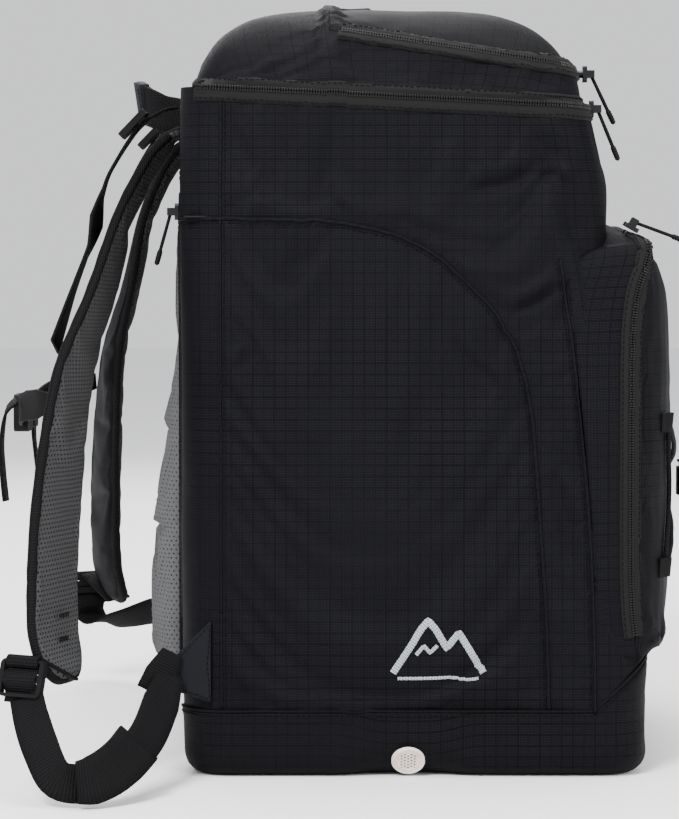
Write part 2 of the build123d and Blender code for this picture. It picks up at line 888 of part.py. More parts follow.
def tube(route):
    """Round cord through the points, each corner turned as widely as its runs allow."""
    radii = []
    for before, corner, after in zip(route, route[1:], route[2:]):
        turn = radians((corner - before).get_angle(after - corner))
        radii.append(0.45 * min((corner - before).length, (after - corner).length) / tan(turn / 2))
    print("cord radii", [round(radius) for radius in radii])
    with BuildPart() as cord:
        with BuildLine() as path:
            FilletPolyline(*route, radius=radii)
        with BuildSketch(path.line ^ 0):
            Circle(cord_radius)
        sweep()
    return cord.part


for make in (base_tub, drain_eyelets, base_board, body_panels, boot_zips, boot_pods):
    make()
back_pad()
yoke_panel()
lid_pieces()
front_pocket()
haul_handle()
shoulder_straps()
sternum_strap()
zip_furniture()
shock_cord()
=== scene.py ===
"""The looks of a black ski boot backpack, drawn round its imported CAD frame.

Lengths in this file are millimetres until a mesh is made; `MM` turns them into metres.
+X is the bag's front, -X its back and straps, -Y the wearer's left and +Z up.
"""

import math

import bmesh
import bpy
import numpy as np
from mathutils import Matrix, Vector, noise
from mathutils.bvhtree import BVHTree


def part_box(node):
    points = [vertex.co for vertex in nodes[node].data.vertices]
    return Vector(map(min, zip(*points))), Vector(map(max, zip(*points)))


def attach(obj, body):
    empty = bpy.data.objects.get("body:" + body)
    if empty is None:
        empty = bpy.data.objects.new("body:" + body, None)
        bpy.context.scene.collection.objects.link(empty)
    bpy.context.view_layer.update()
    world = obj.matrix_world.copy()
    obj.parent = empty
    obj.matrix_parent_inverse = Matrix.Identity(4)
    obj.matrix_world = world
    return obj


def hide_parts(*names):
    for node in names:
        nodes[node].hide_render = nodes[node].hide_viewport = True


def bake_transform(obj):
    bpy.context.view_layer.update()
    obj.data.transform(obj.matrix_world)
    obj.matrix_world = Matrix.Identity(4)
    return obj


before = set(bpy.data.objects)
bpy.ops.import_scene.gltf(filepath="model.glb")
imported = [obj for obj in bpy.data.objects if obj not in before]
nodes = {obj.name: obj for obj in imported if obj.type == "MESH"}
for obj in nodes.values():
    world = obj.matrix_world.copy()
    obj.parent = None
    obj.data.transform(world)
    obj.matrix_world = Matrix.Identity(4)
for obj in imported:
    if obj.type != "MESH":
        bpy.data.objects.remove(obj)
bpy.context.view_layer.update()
MM = 0.001

# The frame's own sizes, in millimetres


def corner(node, which, axis):
    """One coordinate of a CAD node's box: which is 0 for low and 1 for high."""
    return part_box(node)[which]["xyz".index(axis)] / MM


HALF = corner("side_panel_right", 1, "y")
BACK = corner("base_tub", 0, "x")
FRONT = corner("base_tub", 1, "x")
RIM_BACK = corner("back_panel", 1, "z")
RIM_SLOPE = math.tan(math.radians(2.9))
CORNER = 30.0
TUB_TOP = 43.0
TUB_FRONT_TOP = 78.0
TUB_ROUND = 25.0
SEAM_BACK = 7.0
REAR_SEAM = -127.0
LID_BACK = corner("lid_shell", 0, "x")
LID_FRONT = corner("lid_shell", 1, "x")
LID_HALF = corner("lid_shell", 1, "y")
LID_TOP = corner("lid_shell", 1, "z")
FLAP_FOLD = corner("boot_flap_left", 1, "x")
FLAP_LOW = corner("boot_flap_left", 0, "z")
FLAP_HIGH = corner("boot_flap_left", 1, "z")
TOP_HINGE = corner("top_flap", 0, "x")
TOP_ZIP_X, TOP_ZIP_Z = -51.0, 488.0
TOP_ZIP_SLOPE = math.tan(math.radians(8.8))
CLOTH_THICK = 2.4
HANDS = ((-1, "left"), (1, "right"))


def rim(x):
    """Height of the rim plane at x."""
    return RIM_BACK - (x - LID_BACK) * RIM_SLOPE


def top_zip(x):
    """Height of the goggle pocket's zip plane at x, a number or an array."""
    return TOP_ZIP_Z - (x - TOP_ZIP_X) * TOP_ZIP_SLOPE


def front_x(z):
    """The body's front face: an arc that leaves the base upright and leans back."""
    lean, rise = 52.0, 437.0
    bend = (lean**2 + rise**2) / (2 * lean)
    return FRONT - bend + np.sqrt(bend**2 - np.maximum(np.asarray(z, float) - TUB_TOP, 0) ** 2)


# ---------------------------------------------------------------- mesh helpers


def new_object(name, verts, faces, uvs=None, smooth=True):
    """A mesh object from points in millimetres, with a UV for each vertex if given."""
    mesh = bpy.data.meshes.new(name)
    mesh.from_pydata([tuple(v) for v in np.asarray(verts, float) * MM], [], [tuple(f) for f in faces])
    mesh.validate()
    if uvs is not None:
        layer = mesh.uv_layers.new(name="cloth")
        uvs = np.asarray(uvs, float) * MM
        index = np.empty(len(mesh.loops), int)
        mesh.loops.foreach_get("vertex_index", index)
        layer.data.foreach_set("uv", uvs[index].ravel())
    mesh.polygons.foreach_set("use_smooth", [smooth] * len(mesh.polygons))
    obj = bpy.data.objects.new(name, mesh)
    bpy.context.scene.collection.objects.link(obj)
    return obj


def grid_faces(rows, cols, wrap=False):
    """Quads of a grid of rows by cols points, the columns closed into a ring if wrap."""
    faces = []
    for i in range(rows - 1):
        for j in range(cols if wrap else cols - 1):
            k = (j + 1) % cols
            faces.append((i * cols + j, i * cols + k, (i + 1) * cols + k, (i + 1) * cols + j))
    return faces


def capped_faces(rows, cols):
    """Quads of rings of points, with a face closing the first ring and the last."""
    ends = [tuple(reversed(range(cols))), tuple(range((rows - 1) * cols, rows * cols))]
    return grid_faces(rows, cols, wrap=True) + ends


def turned_out(obj):
    """The object, with all its faces turned outwards."""
    edit = bmesh.new()
    edit.from_mesh(obj.data)
    bmesh.ops.recalc_face_normals(edit, faces=edit.faces)
    edit.to_mesh(obj.data)
    edit.free()
    return obj


def heading(path, i):
    """The direction a path of Vectors runs in at its point i."""
    return (path[min(i + 1, len(path) - 1)] - path[max(i - 1, 0)]).normalized()


def distances(path):
    """How far along a path of Vectors each of its points lies."""
    return np.cumsum([0] + [(b - a).length for a, b in zip(path, path[1:])])


def modified(obj, kind, **settings):
    """Adds a modifier with these settings and returns it."""
    mod = obj.modifiers.new(kind.lower(), kind)
    for key, value in settings.items():
        setattr(mod, key, value)
    return mod


def finish_piece(obj, material, body, *replaced):
    """Gives a piece its material, the body it rides on and the CAD nodes it stands for."""
    obj.data.materials.clear()
    for each in material if isinstance(material, (list, tuple)) else [material]:
        obj.data.materials.append(each)
    if body:
        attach(obj, body)
    if replaced:
        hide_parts(*replaced)
    return obj


def smooth_path(points, step=3.0):
    """A Catmull-Rom curve through the points, sampled about every step millimetres."""
    pts = [Vector(p) for p in points]
    pts = [pts[0] * 2 - pts[1]] + pts + [pts[-1] * 2 - pts[-2]]
    out = []
    for a, b, c, d in zip(pts, pts[1:], pts[2:], pts[3:]):
        count = max(2, int((c - b).length / step))
        for i in range(count):
            t = i / count
            square, cube = (2 * a - 5 * b + 4 * c - d) * t**2, (3 * b - a - 3 * c + d) * t**3
            out.append(0.5 * (2 * b + (c - a) * t + square + cube))
    out.append(pts[-2])
    return out


def tube(name, points, radius, sides=10):
    """A round closed tube along the points, its radius a number or a function of 0 to 1."""
    pts = [Vector(p) for p in points]
    verts, uvs, run = [], [], 0.0
    up = Vector((0.1, 0.2, 1)).normalized()
    for i, p in enumerate(pts):
        ahead = heading(pts, i)
        side = up.cross(ahead).normalized()
        up = ahead.cross(side).normalized()
        if i:
            run += (p - pts[i - 1]).length
        r = radius(i / (len(pts) - 1)) if callable(radius) else radius
        for k in range(sides):
            a = 2 * math.pi * k / sides
            verts.append(p + side * math.cos(a) * r + up * math.sin(a) * r)
            uvs.append((run, 2 * math.pi * r * k / sides))
    return new_object(name, verts, capped_faces(len(pts), sides), uvs)


# ---------------------------------------------------------------- materials


def node_maker(material):
    """The node tree's three short makers: add(kind, **inputs), link(from, to) and
    calc(operation, *values), a Math node whose inputs are numbers or sockets."""
    tree = material.node_tree

    def add(kind, **settings):
        made = tree.nodes.new(kind)
        for key, value in settings.items():
            if key in made.inputs:
                made.inputs[key].default_value = value
            else:
                setattr(made, key, value)
        return made

    def calc(operation, *values):
        made = add("ShaderNodeMath", operation=operation)
        for socket, value in zip(made.inputs, values):
            if isinstance(value, (int, float)):
                socket.default_value = value
            else:
                tree.links.new(value, socket)
        return made.outputs[0]

    return add, tree.links.new, calc


def base_material(name, color, roughness, specular, metallic=0.0):
    """A Principled material with its plain numbers set on the shader's own sockets."""
    material = bpy.data.materials.new(name)
    material.use_nodes = True
    shader = material.node_tree.nodes["Principled BSDF"]
    shader.inputs["Base Color"].default_value = (*color, 1)
    shader.inputs["Roughness"].default_value = roughness
    shader.inputs["Specular IOR Level"].default_value = specular
    shader.inputs["Metallic"].default_value = metallic
    return material, shader


def scaled(color, factor):
    """A colour made lighter or darker."""
    return tuple(min(c * factor, 1) for c in color)


def bump(add, link, shader, height, strength, distance):
    """Adds a height to the shader's normal."""
    made = add("ShaderNodeBump", Strength=strength, Distance=distance)
    link(height, made.inputs["Height"])
    link(made.outputs["Normal"], shader.inputs["Normal"])


def two_tone(add, link, shader, mask, low, high):
    """Mixes the base colour between two colours by a 0 to 1 mask."""
    mix = add("ShaderNodeMix", data_type="RGBA")
    factor, low_colour, high_colour = mix.inputs[0], mix.inputs[6], mix.inputs[7]
    low_colour.default_value = (*low, 1)
    high_colour.default_value = (*high, 1)
    link(mask, factor)
    link(mix.outputs[2], shader.inputs["Base Color"])


def cloth_axes(add, link):
    """The cloth UV's two axes as sockets, in metres along the cloth."""
    uv = add("ShaderNodeUVMap", uv_map="cloth")
    split = add("ShaderNodeSeparateXYZ")
    link(uv.outputs[0], split.inputs[0])
    return split.outputs[0], split.outputs[1]


def speckled(add, link, scale, detail):
    """A noise over the object's own space, as a socket."""
    where, speck = add("ShaderNodeTexCoord"), add("ShaderNodeTexNoise", Scale=scale, Detail=detail)
    link(where.outputs["Object"], speck.inputs["Vector"])
    return speck.outputs[0]


def stripes(calc, axis, pitch, width):
    """1 on thin lines a pitch apart and 0 between them."""
    return calc("LESS_THAN", calc("FRACT", calc("DIVIDE", axis, pitch)), width / pitch)


def wave(calc, axis, pitch):
    """A sine along an axis, from -1 to 1."""
    return calc("SINE", calc("MULTIPLY", axis, 2 * math.pi / pitch))


def ripstop(name, color, line_color, pitch=0.0072):
    """Nylon ripstop: a fine twill with a darker grid of doubled yarns, slightly shiny; the twill's light
    and dark are painted light on its yarns, and a random mottle varies its tone.
    """
    material, shader = base_material(name, color, 0.62, 0.045)
    add, link, calc = node_maker(material)
    u, v = cloth_axes(add, link)
    lines = calc("MAXIMUM", stripes(calc, u, pitch, 0.0006), stripes(calc, v, pitch * 1.02, 0.00065))
    grid = calc("MULTIPLY", lines, calc("MULTIPLY_ADD", speckled(add, link, 14.0, 2.0), 1.5, -0.05))
    rise = calc("MULTIPLY", v, 0.9)
    twill = wave(calc, calc("ADD", u, rise), 0.0019)
    weave = calc("MULTIPLY", twill, wave(calc, calc("SUBTRACT", u, rise), 0.0019))
    # painted light: the twill's crossings are coloured lighter and its dips darker; the grid lines are
    # darker for the doubled yarns, and a random mottle goes on top
    shade = calc("MULTIPLY", calc("MULTIPLY_ADD", weave, 1.0, 0.16), calc("SUBTRACT", 1.0, grid))
    painted_twill_light_grid_and_mottle = calc("MULTIPLY", shade, calc("ADD", speckled(add, link, 26.0, 4.0), 0.5))
    two_tone(add, link, shader, painted_twill_light_grid_and_mottle, line_color, color)
    bump(add, link, shader, calc("SUBTRACT", calc("MULTIPLY", weave, 0.35), grid), 0.6, 0.0003)
    return material


def webbing_material(name, color):
    """Ribbed webbing: fine ribs across its run and yarns askew to them, with painted light: a lighter copy
    of the colour on the ribs' crests and a darker one in their grooves.
    """
    material, shader = base_material(name, color, 0.68, 0.05)
    add, link, calc = node_maker(material)
    u, v = cloth_axes(add, link)
    ribs = wave(calc, u, 0.0019)
    yarns = wave(calc, calc("ADD", v, calc("MULTIPLY", u, 0.5)), 0.0016)
    height = calc("ADD", ribs, calc("MULTIPLY", yarns, 0.8))
    # painted light: the ribs' crests take a lighter copy of the colour and their grooves a darker one
    lit = calc("MULTIPLY_ADD", height, 0.25, 0.5)
    two_tone(add, link, shader, lit, scaled(color, 0.45), scaled(color, 1.7))
    bump(add, link, shader, height, 0.6, 0.00035)
    return material


def mesh_material(name, color, painted_hole_shade, pitch, hole, speckle):
    """Spacer mesh: rows of small holes, every other row shifted by half a pitch, coloured dark as painted
    shade inside them, with a random fuzz of tone.
    """
    material, shader = base_material(name, color, 0.85, 0.08)
    add, link, calc = node_maker(material)
    u, v = cloth_axes(add, link)
    row = calc("DIVIDE", v, pitch * 0.8)
    odd = calc("MODULO", calc("FLOOR", row), 2.0)
    col = calc("ADD", calc("DIVIDE", u, pitch), calc("MULTIPLY", calc("ABSOLUTE", odd), 0.5))
    du = calc("SUBTRACT", calc("FRACT", col), 0.5)
    dv = calc("SUBTRACT", calc("FRACT", row), 0.5)
    away = calc("SQRT", calc("ADD", calc("MULTIPLY", du, du), calc("MULTIPLY", dv, dv)))
    ramp = add("ShaderNodeMapRange")
    ramp.inputs["From Min"].default_value = hole * 0.7
    ramp.inputs["From Max"].default_value = hole * 1.15
    link(away, ramp.inputs["Value"])
    fuzz = calc("SUBTRACT", speckled(add, link, 900.0, 2.0), 0.5)
    # painted shade: the holes are coloured dark for the shade inside them, and the fuzz adds random tone
    lit = calc("ADD", ramp.outputs[0], calc("MULTIPLY", fuzz, speckle))
    two_tone(add, link, shader, lit, painted_hole_shade, color)
    knit = wave(calc, calc("ADD", u, v), 0.0011)
    bump(add, link, shader, calc("ADD", ramp.outputs[0], calc("MULTIPLY", knit, 0.12)), 0.8, 0.0009)
    return material


def tape_material(name, color):
    """Zip tape: a fine herringbone knit, with painted light: its chevrons' crests coloured lighter and
    their hollows darker.
    """
    material, shader = base_material(name, color, 0.7, 0.12)
    add, link, calc = node_maker(material)
    u, v = cloth_axes(add, link)
    chevrons = wave(calc, calc("ADD", u, calc("PINGPONG", v, 0.0016)), 0.0012)
    # painted light: the chevrons' crests take a lighter copy of the colour and their hollows a darker one
    lit = calc("MULTIPLY_ADD", chevrons, 0.35, 0.55)
    two_tone(add, link, shader, lit, scaled(color, 0.5), scaled(color, 1.4))
    bump(add, link, shader, chevrons, 0.5, 0.0002)
    return material


def moulded(name, color, roughness=0.4, specular=0.28, metallic=0.0):
    """Moulded or cast part with a faint grain."""
    material, shader = base_material(name, color, roughness, specular, metallic)
    add, link, _ = node_maker(material)
    wear = speckled(add, link, 90.0, 3.0)
    two_tone(add, link, shader, wear, scaled(color, 0.7), scaled(color, 1.35))
    bump(add, link, shader, speckled(add, link, 1400.0, 2.0), 0.3, 0.0001)
    return material


INK = (0.0098, 0.0096, 0.0125)
DEEP = (0.0014, 0.0014, 0.0019)
cloth = ripstop("ripstop", INK, DEEP)
plain = ripstop("plain_weave", (0.0082, 0.0082, 0.0098), (0.0008, 0.0008, 0.001), pitch=0.5)
lining = ripstop("lining", (0.016, 0.016, 0.0175), (0.009, 0.009, 0.01), pitch=0.5)
webbing = webbing_material("webbing", (0.0046, 0.0046, 0.005))
grip_cloth = ripstop("grip_cloth", (0.0105, 0.0105, 0.0135), (0.006, 0.006, 0.0075), pitch=0.5)
tape = tape_material("zip_tape", (0.0046, 0.0046, 0.0046))
teeth = moulded("zip_teeth", (0.0055, 0.0055, 0.0056), roughness=0.45, specular=0.2)
back_mesh = mesh_material("back_mesh", (0.085, 0.085, 0.088), (0.012, 0.012, 0.013), 0.0036, 0.17, 0.9)
strap_mesh = mesh_material("strap_mesh", (0.042, 0.042, 0.043), (0.004, 0.004, 0.0045), 0.0038, 0.22, 0.5)
acetal = moulded("acetal", (0.0055, 0.0055, 0.006), roughness=0.62, specular=0.07)
gunmetal = moulded("gunmetal", (0.014, 0.014, 0.015), roughness=0.32, metallic=0.6)
beige = moulded("eyelet_plastic", (0.66, 0.56, 0.5), roughness=0.5)
board = moulded("board", (0.03, 0.03, 0.031), roughness=0.7)
elastic = webbing_material("elastic", (0.0065, 0.0065, 0.007))
thread = webbing_material("thread", (0.003, 0.003, 0.0034))
silver_thread = webbing_material("silver_thread", (0.26, 0.28, 0.3))


# ---------------------------------------------------------------- body skin


def side_run(z, s):
    """A point of the body's left half outline at height z and distance s from the rear corner's
    start at the back panel: (x, y, normal x, normal y)."""
    quarter = CORNER * math.pi / 2
    far = float(front_x(z))
    side = far - CORNER - (BACK + CORNER)
    if s < 0:
        return BACK, -HALF + CORNER - s, -1.0, 0.0
    if s < quarter:
        a = s / CORNER
        cx, cy = BACK + CORNER, -HALF + CORNER
        return cx - CORNER * math.cos(a), cy - CORNER * math.sin(a), -math.cos(a), -math.sin(a)
    s -= quarter
    if s < side:
        return BACK + CORNER + s, -HALF, 0.0, -1.0
    s -= side
    if s < quarter:
        a = s / CORNER
        cx, cy = far - CORNER, -HALF + CORNER
        return cx + CORNER * math.sin(a), cy - CORNER * math.cos(a), math.sin(a), -math.cos(a)
    s -= quarter
    return far, -HALF + CORNER + s, 1.0, 0.0


def zoned(*zones):
    """(zone, fraction) pairs: each zone cut into its number of steps, and the last one's end."""
    pairs = [(zone, f) for zone, steps in zones for f in np.linspace(0, 1, steps + 1)[:-1]]
    return pairs + [(zones[-1][0], 1.0)]


def station_point(zone, f, z):
    """The body's outline point of a station at height z, on the left half."""
    quarter = CORNER * math.pi / 2
    far = float(front_x(z))
    flap = FLAP_FOLD - (BACK + CORNER)
    side = far - CORNER - (BACK + CORNER)
    starts = {
        "back": (-(HALF - CORNER), 0),
        "rear": (0, quarter),
        "flap": (quarter, quarter + flap),
        "side": (quarter + flap, quarter + side - SEAM_BACK),
        "corner": (quarter + side - SEAM_BACK, 2 * quarter + side),
        "front": (2 * quarter + side, 2 * quarter + side + HALF - CORNER),
    }
    low, high = starts[zone]
    s = low + (high - low) * f
    x, y, nx, ny = side_run(z, s)
    return (x, y, nx, ny), s


def tub_edge(x):
    """Top edge of the base tub at x: low along the sides, higher in front."""
    climb = (x - 117.0) / (FRONT - 117.0)
    return TUB_TOP + (TUB_FRONT_TOP - TUB_TOP) * float(np.clip(climb, 0, 1))


def row_height(zone, f, x):
    """Height of a row at a column whose x is given."""
    low = tub_edge(x)
    spans = {"low": (low, FLAP_LOW), "mid": (FLAP_LOW, FLAP_HIGH), "top": (FLAP_HIGH, rim(x) - 0.4)}
    bottom, top = spans[zone]
    return bottom + (top - bottom) * f


def bulge(f, power=2.0):
    """0 at both ends of a span and 1 in its middle."""
    return 1 - abs(2 * f - 1) ** power


# Columns of the left half outline from the middle of the back to the middle of the front, and rows
# from the tub to the rim, so that each follows the same feature all along
LEFT = zoned(("back", 21), ("rear", 9), ("flap", 27), ("side", 37), ("corner", 9), ("front", 25))
START = {zone: [s[0] for s in LEFT].index(zone) for zone in ("rear", "side", "corner")}
RING = [(zone, f, 1) for zone, f in LEFT] + [(zone, f, -1) for zone, f in reversed(LEFT[1:-1])]
COLS = len(RING)
ROWS = zoned(("low", 17), ("mid", 79), ("top", 25))
LOW_ROW = [zone for zone, _ in ROWS].index("mid")
HIGH_ROW = [zone for zone, _ in ROWS].index("top")


def body_skin():
    """Grid of the whole body skin: its points, outward normals and distances round the left half."""
    points = np.zeros((len(ROWS), COLS, 3))
    normals = np.zeros_like(points)
    runs = np.zeros((len(ROWS), COLS))
    for i, (row_zone, rf) in enumerate(ROWS):
        for j, (zone, f, hand) in enumerate(RING):
            z = 200.0
            for _ in range(3):
                (x, y, nx, ny), s = station_point(zone, f, z)
                z = row_height(row_zone, rf, x)
            soft = 3.0 * bulge(np.clip((z - 43) / 400, 0, 1)) if zone in ("flap", "side") else 0
            soft *= bulge(np.clip((x - BACK) / 250, 0, 1), 4)
            points[i, j] = (x + nx * soft, (y + ny * soft) * hand, z)
            normals[i, j] = (nx, ny * hand, 0)
            runs[i, j] = s
    return points, normals, runs


# The boot compartment's piped seam on the left side, as (x, z)
ARCH = [(-153.5, 366), (-146, 366), (-131, 366), (-95, 365.6), (-56, 364), (-20, 357), (10, 344)]
ARCH += [(35, 322), (60, 291), (73, 250), (78, 208), (82, 148), (85, 108), (87, 44)]
ARCH_LINE = [(p.x, p.z) for p in smooth_path([(x, 0, z) for x, z in ARCH], 6.0)]


def corner_y(x):
    """How far out the body's side lies at x, its rear corner's curve included."""
    into = min(max(BACK + CORNER - x, 0.0), CORNER)
    return HALF - CORNER + math.sqrt(CORNER**2 - into**2)


def arch_distance(x, z):
    """How far a side point lies from the piped seam."""
    pts = np.array(ARCH_LINE)
    return float(np.min(np.hypot(pts[:, 0] - x, pts[:, 1] - z)))


def fold(x, z, start, end, width, depth):
    """A soft crease between two side points: its trough, with a lower ridge along one side."""
    ax, az = start
    bx, bz = end
    length = math.hypot(bx - ax, bz - az)
    ux, uz = (bx - ax) / length, (bz - az) / length
    along = ((x - ax) * ux + (z - az) * uz) / length
    if not -0.25 < along < 1.25:
        return 0.0
    away = ((x - ax) * -uz + (z - az) * ux) / width
    if abs(away) > 5:
        return 0.0
    fade = math.exp(-(((along - 0.5) / 0.42) ** 4))
    return 1.35 * depth * fade * (math.exp(-(away**2)) - 0.7 * math.exp(-((away - 2.1) ** 2) / 1.6))


# Creases of the left side panel, each from one (x, z) to another, with its width and depth
FOLDS = [
    ((28, 384), (84, 397), 5, -3.4),
    ((85, 398), (88, 390), 5, -3.5),
    ((84, 392), (92, 342), 6, 2.4),
    ((60, 304), (97, 323), 4, -3.2),
    ((70, 420), (96, 402), 7, -2.2),
    ((30, 425), (-20, 408), 9, -1.8),
    ((100, 330), (92, 290), 5, -2.0),
    ((20, 285), (56, 254), 4, -2.0),
    ((46, 300), (58, 284), 3.6, -1.5),
    ((-122, 347), (-50, 340), 12, -3.2),
    ((-118, 268), (-102, 282), 3.6, -1.6),
    ((-128, 240), (-90, 236), 8, 1.4),
    ((-60, 444), (-85, 402), 10, 1.6),
    ((-125, 438), (-108, 392), 8, -1.8),
    ((90, 205), (104, 130), 5, -1.8),
    ((97, 262), (103, 200), 4, 1.8),
    ((-120, 96), (-70, 72), 8, 1.6),
    ((15, 62), (66, 84), 7, -1.5),
    ((-40, 220), (20, 196), 16, -1.3),
    ((-90, 168), (-20, 150), 18, 1.3),
    ((40, 150), (66, 110), 9, -1.2),
]


def relief(point, normal):
    """How far the cloth stands off its smooth form at a point: seams, folds and slackness."""
    x, y, z = point
    on_side = abs(normal[1])
    near = Vector((x * 0.011, y * 0.011, z * 0.007))
    d = 1.8 * noise.noise(near) + 0.7 * noise.noise(near * 3.1) + 0.3 * noise.noise(near * 7.3)
    if on_side > 0.3:
        away = arch_distance(x, z)
        d -= on_side * 1.3 * math.exp(-((away / 4.5) ** 2))
        gathers = noise.noise(Vector((x * 0.07, z * 0.07, 4.0 if y < 0 else 9.0)))
        d += on_side * 1.7 * gathers * math.exp(-((away / 16) ** 2))
        if y < 0:
            d += on_side * sum(fold(x, z, *each) for each in FOLDS)
        else:
            d += on_side * sum(fold(x, z, *each) for each in FOLDS[::2])  # the right side is calmer
    if normal[0] > 0:
        d += 8.5 * math.exp(-(((z - 392) / 30) ** 2)) * normal[0] ** 1.5
    low = z - tub_edge(x)
    d += 0.9 * noise.noise(Vector((x * 0.06, y * 0.06, 2.0))) * math.exp(-(low / 16) ** 2)
    d -= 1.0 * math.exp(-((low / 3) ** 2))
    high = rim(x) - z
    d += 1.0 * noise.noise(Vector((x * 0.05, y * 0.05, 7.0))) * math.exp(-((high - 14) / 12) ** 2)
    return d


CLOTH_FRAMES = 14


def drape(name, points, faces, pins, shrink, pressure):
    """A cloth object of the points, ready to be simulated, held where its pins are above 0."""
    obj = new_object(name, points, faces)
    group = obj.vertex_groups.new(name="pins")
    pins = np.round(pins, 2)
    for weight in sorted(set(pins)):
        if weight > 0:
            group.add([int(k) for k in np.where(pins == weight)[0]], float(weight), "REPLACE")
    mod = modified(obj, "CLOTH")
    settings = mod.settings
    settings.quality = 5
    settings.mass = 0.25
    settings.tension_stiffness = settings.compression_stiffness = 18
    settings.shear_stiffness = 6
    settings.bending_stiffness = 0.6
    settings.vertex_group_mass = "pins"
    settings.pin_stiffness = 1.0
    settings.shrink_min = -shrink
    settings.use_pressure = True
    settings.uniform_pressure_force = pressure
    settings.effector_weights.gravity = 0.4
    mod.collision_settings.use_collision = False
    mod.point_cache.frame_start = 1
    mod.point_cache.frame_end = CLOTH_FRAMES
    return obj


def settled(obj, start, cap):
    """The draped points, none further than cap from where it started, and removes the object."""
    shape = obj.evaluated_get(bpy.context.evaluated_depsgraph_get()).to_mesh()
    out = np.empty(len(shape.vertices) * 3)
    shape.vertices.foreach_get("co", out)
    out = out.reshape(-1, 3) / MM
    move = out - start
    size = np.linalg.norm(move, axis=1, keepdims=True)
    bpy.data.objects.remove(obj)
    return start + move * np.minimum(1, cap / np.maximum(size, 1e-6))


def settle_all(jobs):
    """Steps the scene once for all the draped objects and returns their points by name."""
    scene = bpy.context.scene
    for step in range(1, CLOTH_FRAMES + 1):
        scene.frame_set(step)
    out = {name: settled(obj, start, cap) for name, (obj, start, cap) in jobs.items()}
    scene.frame_set(1)
    return out


def lid_form(phi, beta):
    """A point of the lid's dome: phi goes round it and beta from the rim to its crown."""
    mid_x = -20.0
    dx, dy = math.cos(phi), math.sin(phi)
    reach_x = (LID_FRONT if dx > 0 else -LID_BACK) - (mid_x if dx > 0 else -mid_x)
    n = 9.0
    radius = ((abs(dx) / reach_x) ** n + (abs(dy) / LID_HALF) ** n) ** (-1 / n)
    sideness = abs(dy) ** 2 * 1.7
    flat = 2.5 + min(sideness, 1.3) * 1.2
    rho = radius * math.cos(beta) ** (2 / flat)
    x, y = mid_x + dx * rho, dy * rho
    edge_x = mid_x + dx * radius
    low = rim(edge_x) + 0.4
    return Vector((x, y, low + (LID_TOP - low) * math.sin(beta)))


def lid_dome():
    """Grid of the lid's dome with cloth coordinates laid out flat from the crown."""
    turns = np.linspace(0, 2 * math.pi, 241)[:-1]
    rises = np.concatenate([np.linspace(0, 0.35, 12)[:-1], np.linspace(0.35, math.pi / 2 - 0.01, 42)])
    points = np.array([[lid_form(phi, beta) for phi in turns] for beta in rises])
    uv = np.zeros((*points.shape[:2], 2))
    for j, phi in enumerate(turns):
        run = 0.0
        for i in range(len(rises) - 1, -1, -1):
            if i < len(rises) - 1:
                run += float(np.linalg.norm(points[i, j] - points[i + 1, j]))
            uv[i, j] = (math.cos(phi) * run, math.sin(phi) * run)
    return points, uv


def grid_normals(points, wrap=True):
    """Unit normals of a grid of points that point out of a closed form."""
    along = np.roll(points, -1, 1) - np.roll(points, 1, 1)
    if not wrap:
        along[:, 0] = points[:, 1] - points[:, 0]
        along[:, -1] = points[:, -1] - points[:, -2]
    up = np.gradient(points, axis=0)
    normal = np.cross(along, up)
    return normal / np.maximum(np.linalg.norm(normal, axis=2, keepdims=True), 1e-9)


def lid_relief(point):
    """Slackness and seams of the lid's cloth."""
    x, y, z = point
    d = 1.6 * noise.noise(Vector((x * 0.014, y * 0.014, z * 0.02)))
    d += 0.6 * noise.noise(Vector((x * 0.045, y * 0.03, z * 0.05 + 3)))
    to_zip = z - top_zip(x)
    if x > TOP_HINGE:
        d -= 1.2 * math.exp(-((to_zip / 5) ** 2))
        d += 1.2 * noise.noise(Vector((x * 0.06, y * 0.06, 5.0))) * math.exp(-((abs(to_zip) - 10) / 9) ** 2)
    d -= 1.2 * math.exp(-(((x - TOP_HINGE) / 3.5) ** 2)) * (1 if z > top_zip(x) - 6 else 0)
    return d


def pocket_side(z):
    """The pocket cover's front at height z, in its middle."""
    zs = [77, 84, 90, 99, 120, 140, 178, 215, 258, 298, 320, 338, 349, 357, 362]
    xs = [152, 161, 168, 174.5, 180, 182.5, 185, 186.5, 185, 180, 174.5, 166, 155, 139, 128]
    return float(np.interp(z, zs, xs))


def pocket_plan(y):
    """The pocket cover's front at distance y from the middle."""
    ys = [0, 60, 110, 148, 160, 170, 176, 181, 184]
    xs = [187.5, 184.6, 178, 169, 163.5, 156, 147.5, 134, 122]
    return float(np.interp(abs(y), ys, xs))


def pocket_front(y, z):
    """The pocket cover's front surface, its two profiles blended softly where they cross."""
    soft = 7.0
    a, b = pocket_side(z), pocket_plan(y)
    low = min(a, b)
    return low - soft * math.log(math.exp(-(a - low) / soft) + math.exp(-(b - low) / soft)) + soft * 0.08


POCKET_HALF = corner("front_cover", 1, "y") - 0.8
POCKET_LOW = corner("front_cover", 0, "z") + 1.0
POCKET_HIGH = corner("front_cover", 1, "z")


def pocket_cover():
    """Grid of the pocket's cover, with its upper corners rounded in plan."""
    across = np.sin(np.linspace(-math.pi / 2, math.pi / 2, 91)) * 0.5 + np.linspace(-1, 1, 91) * 0.5
    up = np.linspace(-1, 1, 81)
    mid, reach = (POCKET_HIGH + POCKET_LOW) / 2, (POCKET_HIGH - POCKET_LOW) / 2
    points = np.zeros((len(up), len(across), 3))
    for i, b in enumerate(up):
        for j, a in enumerate(across):
            pull = 0.055 * (a * a * b * b) ** 3 * (1 if b > 0 else 0.25)
            y, z = POCKET_HALF * a * (1 - pull), mid + reach * b * (1 - pull)
            points[i, j] = (pocket_front(y, z), y, z)
    return points


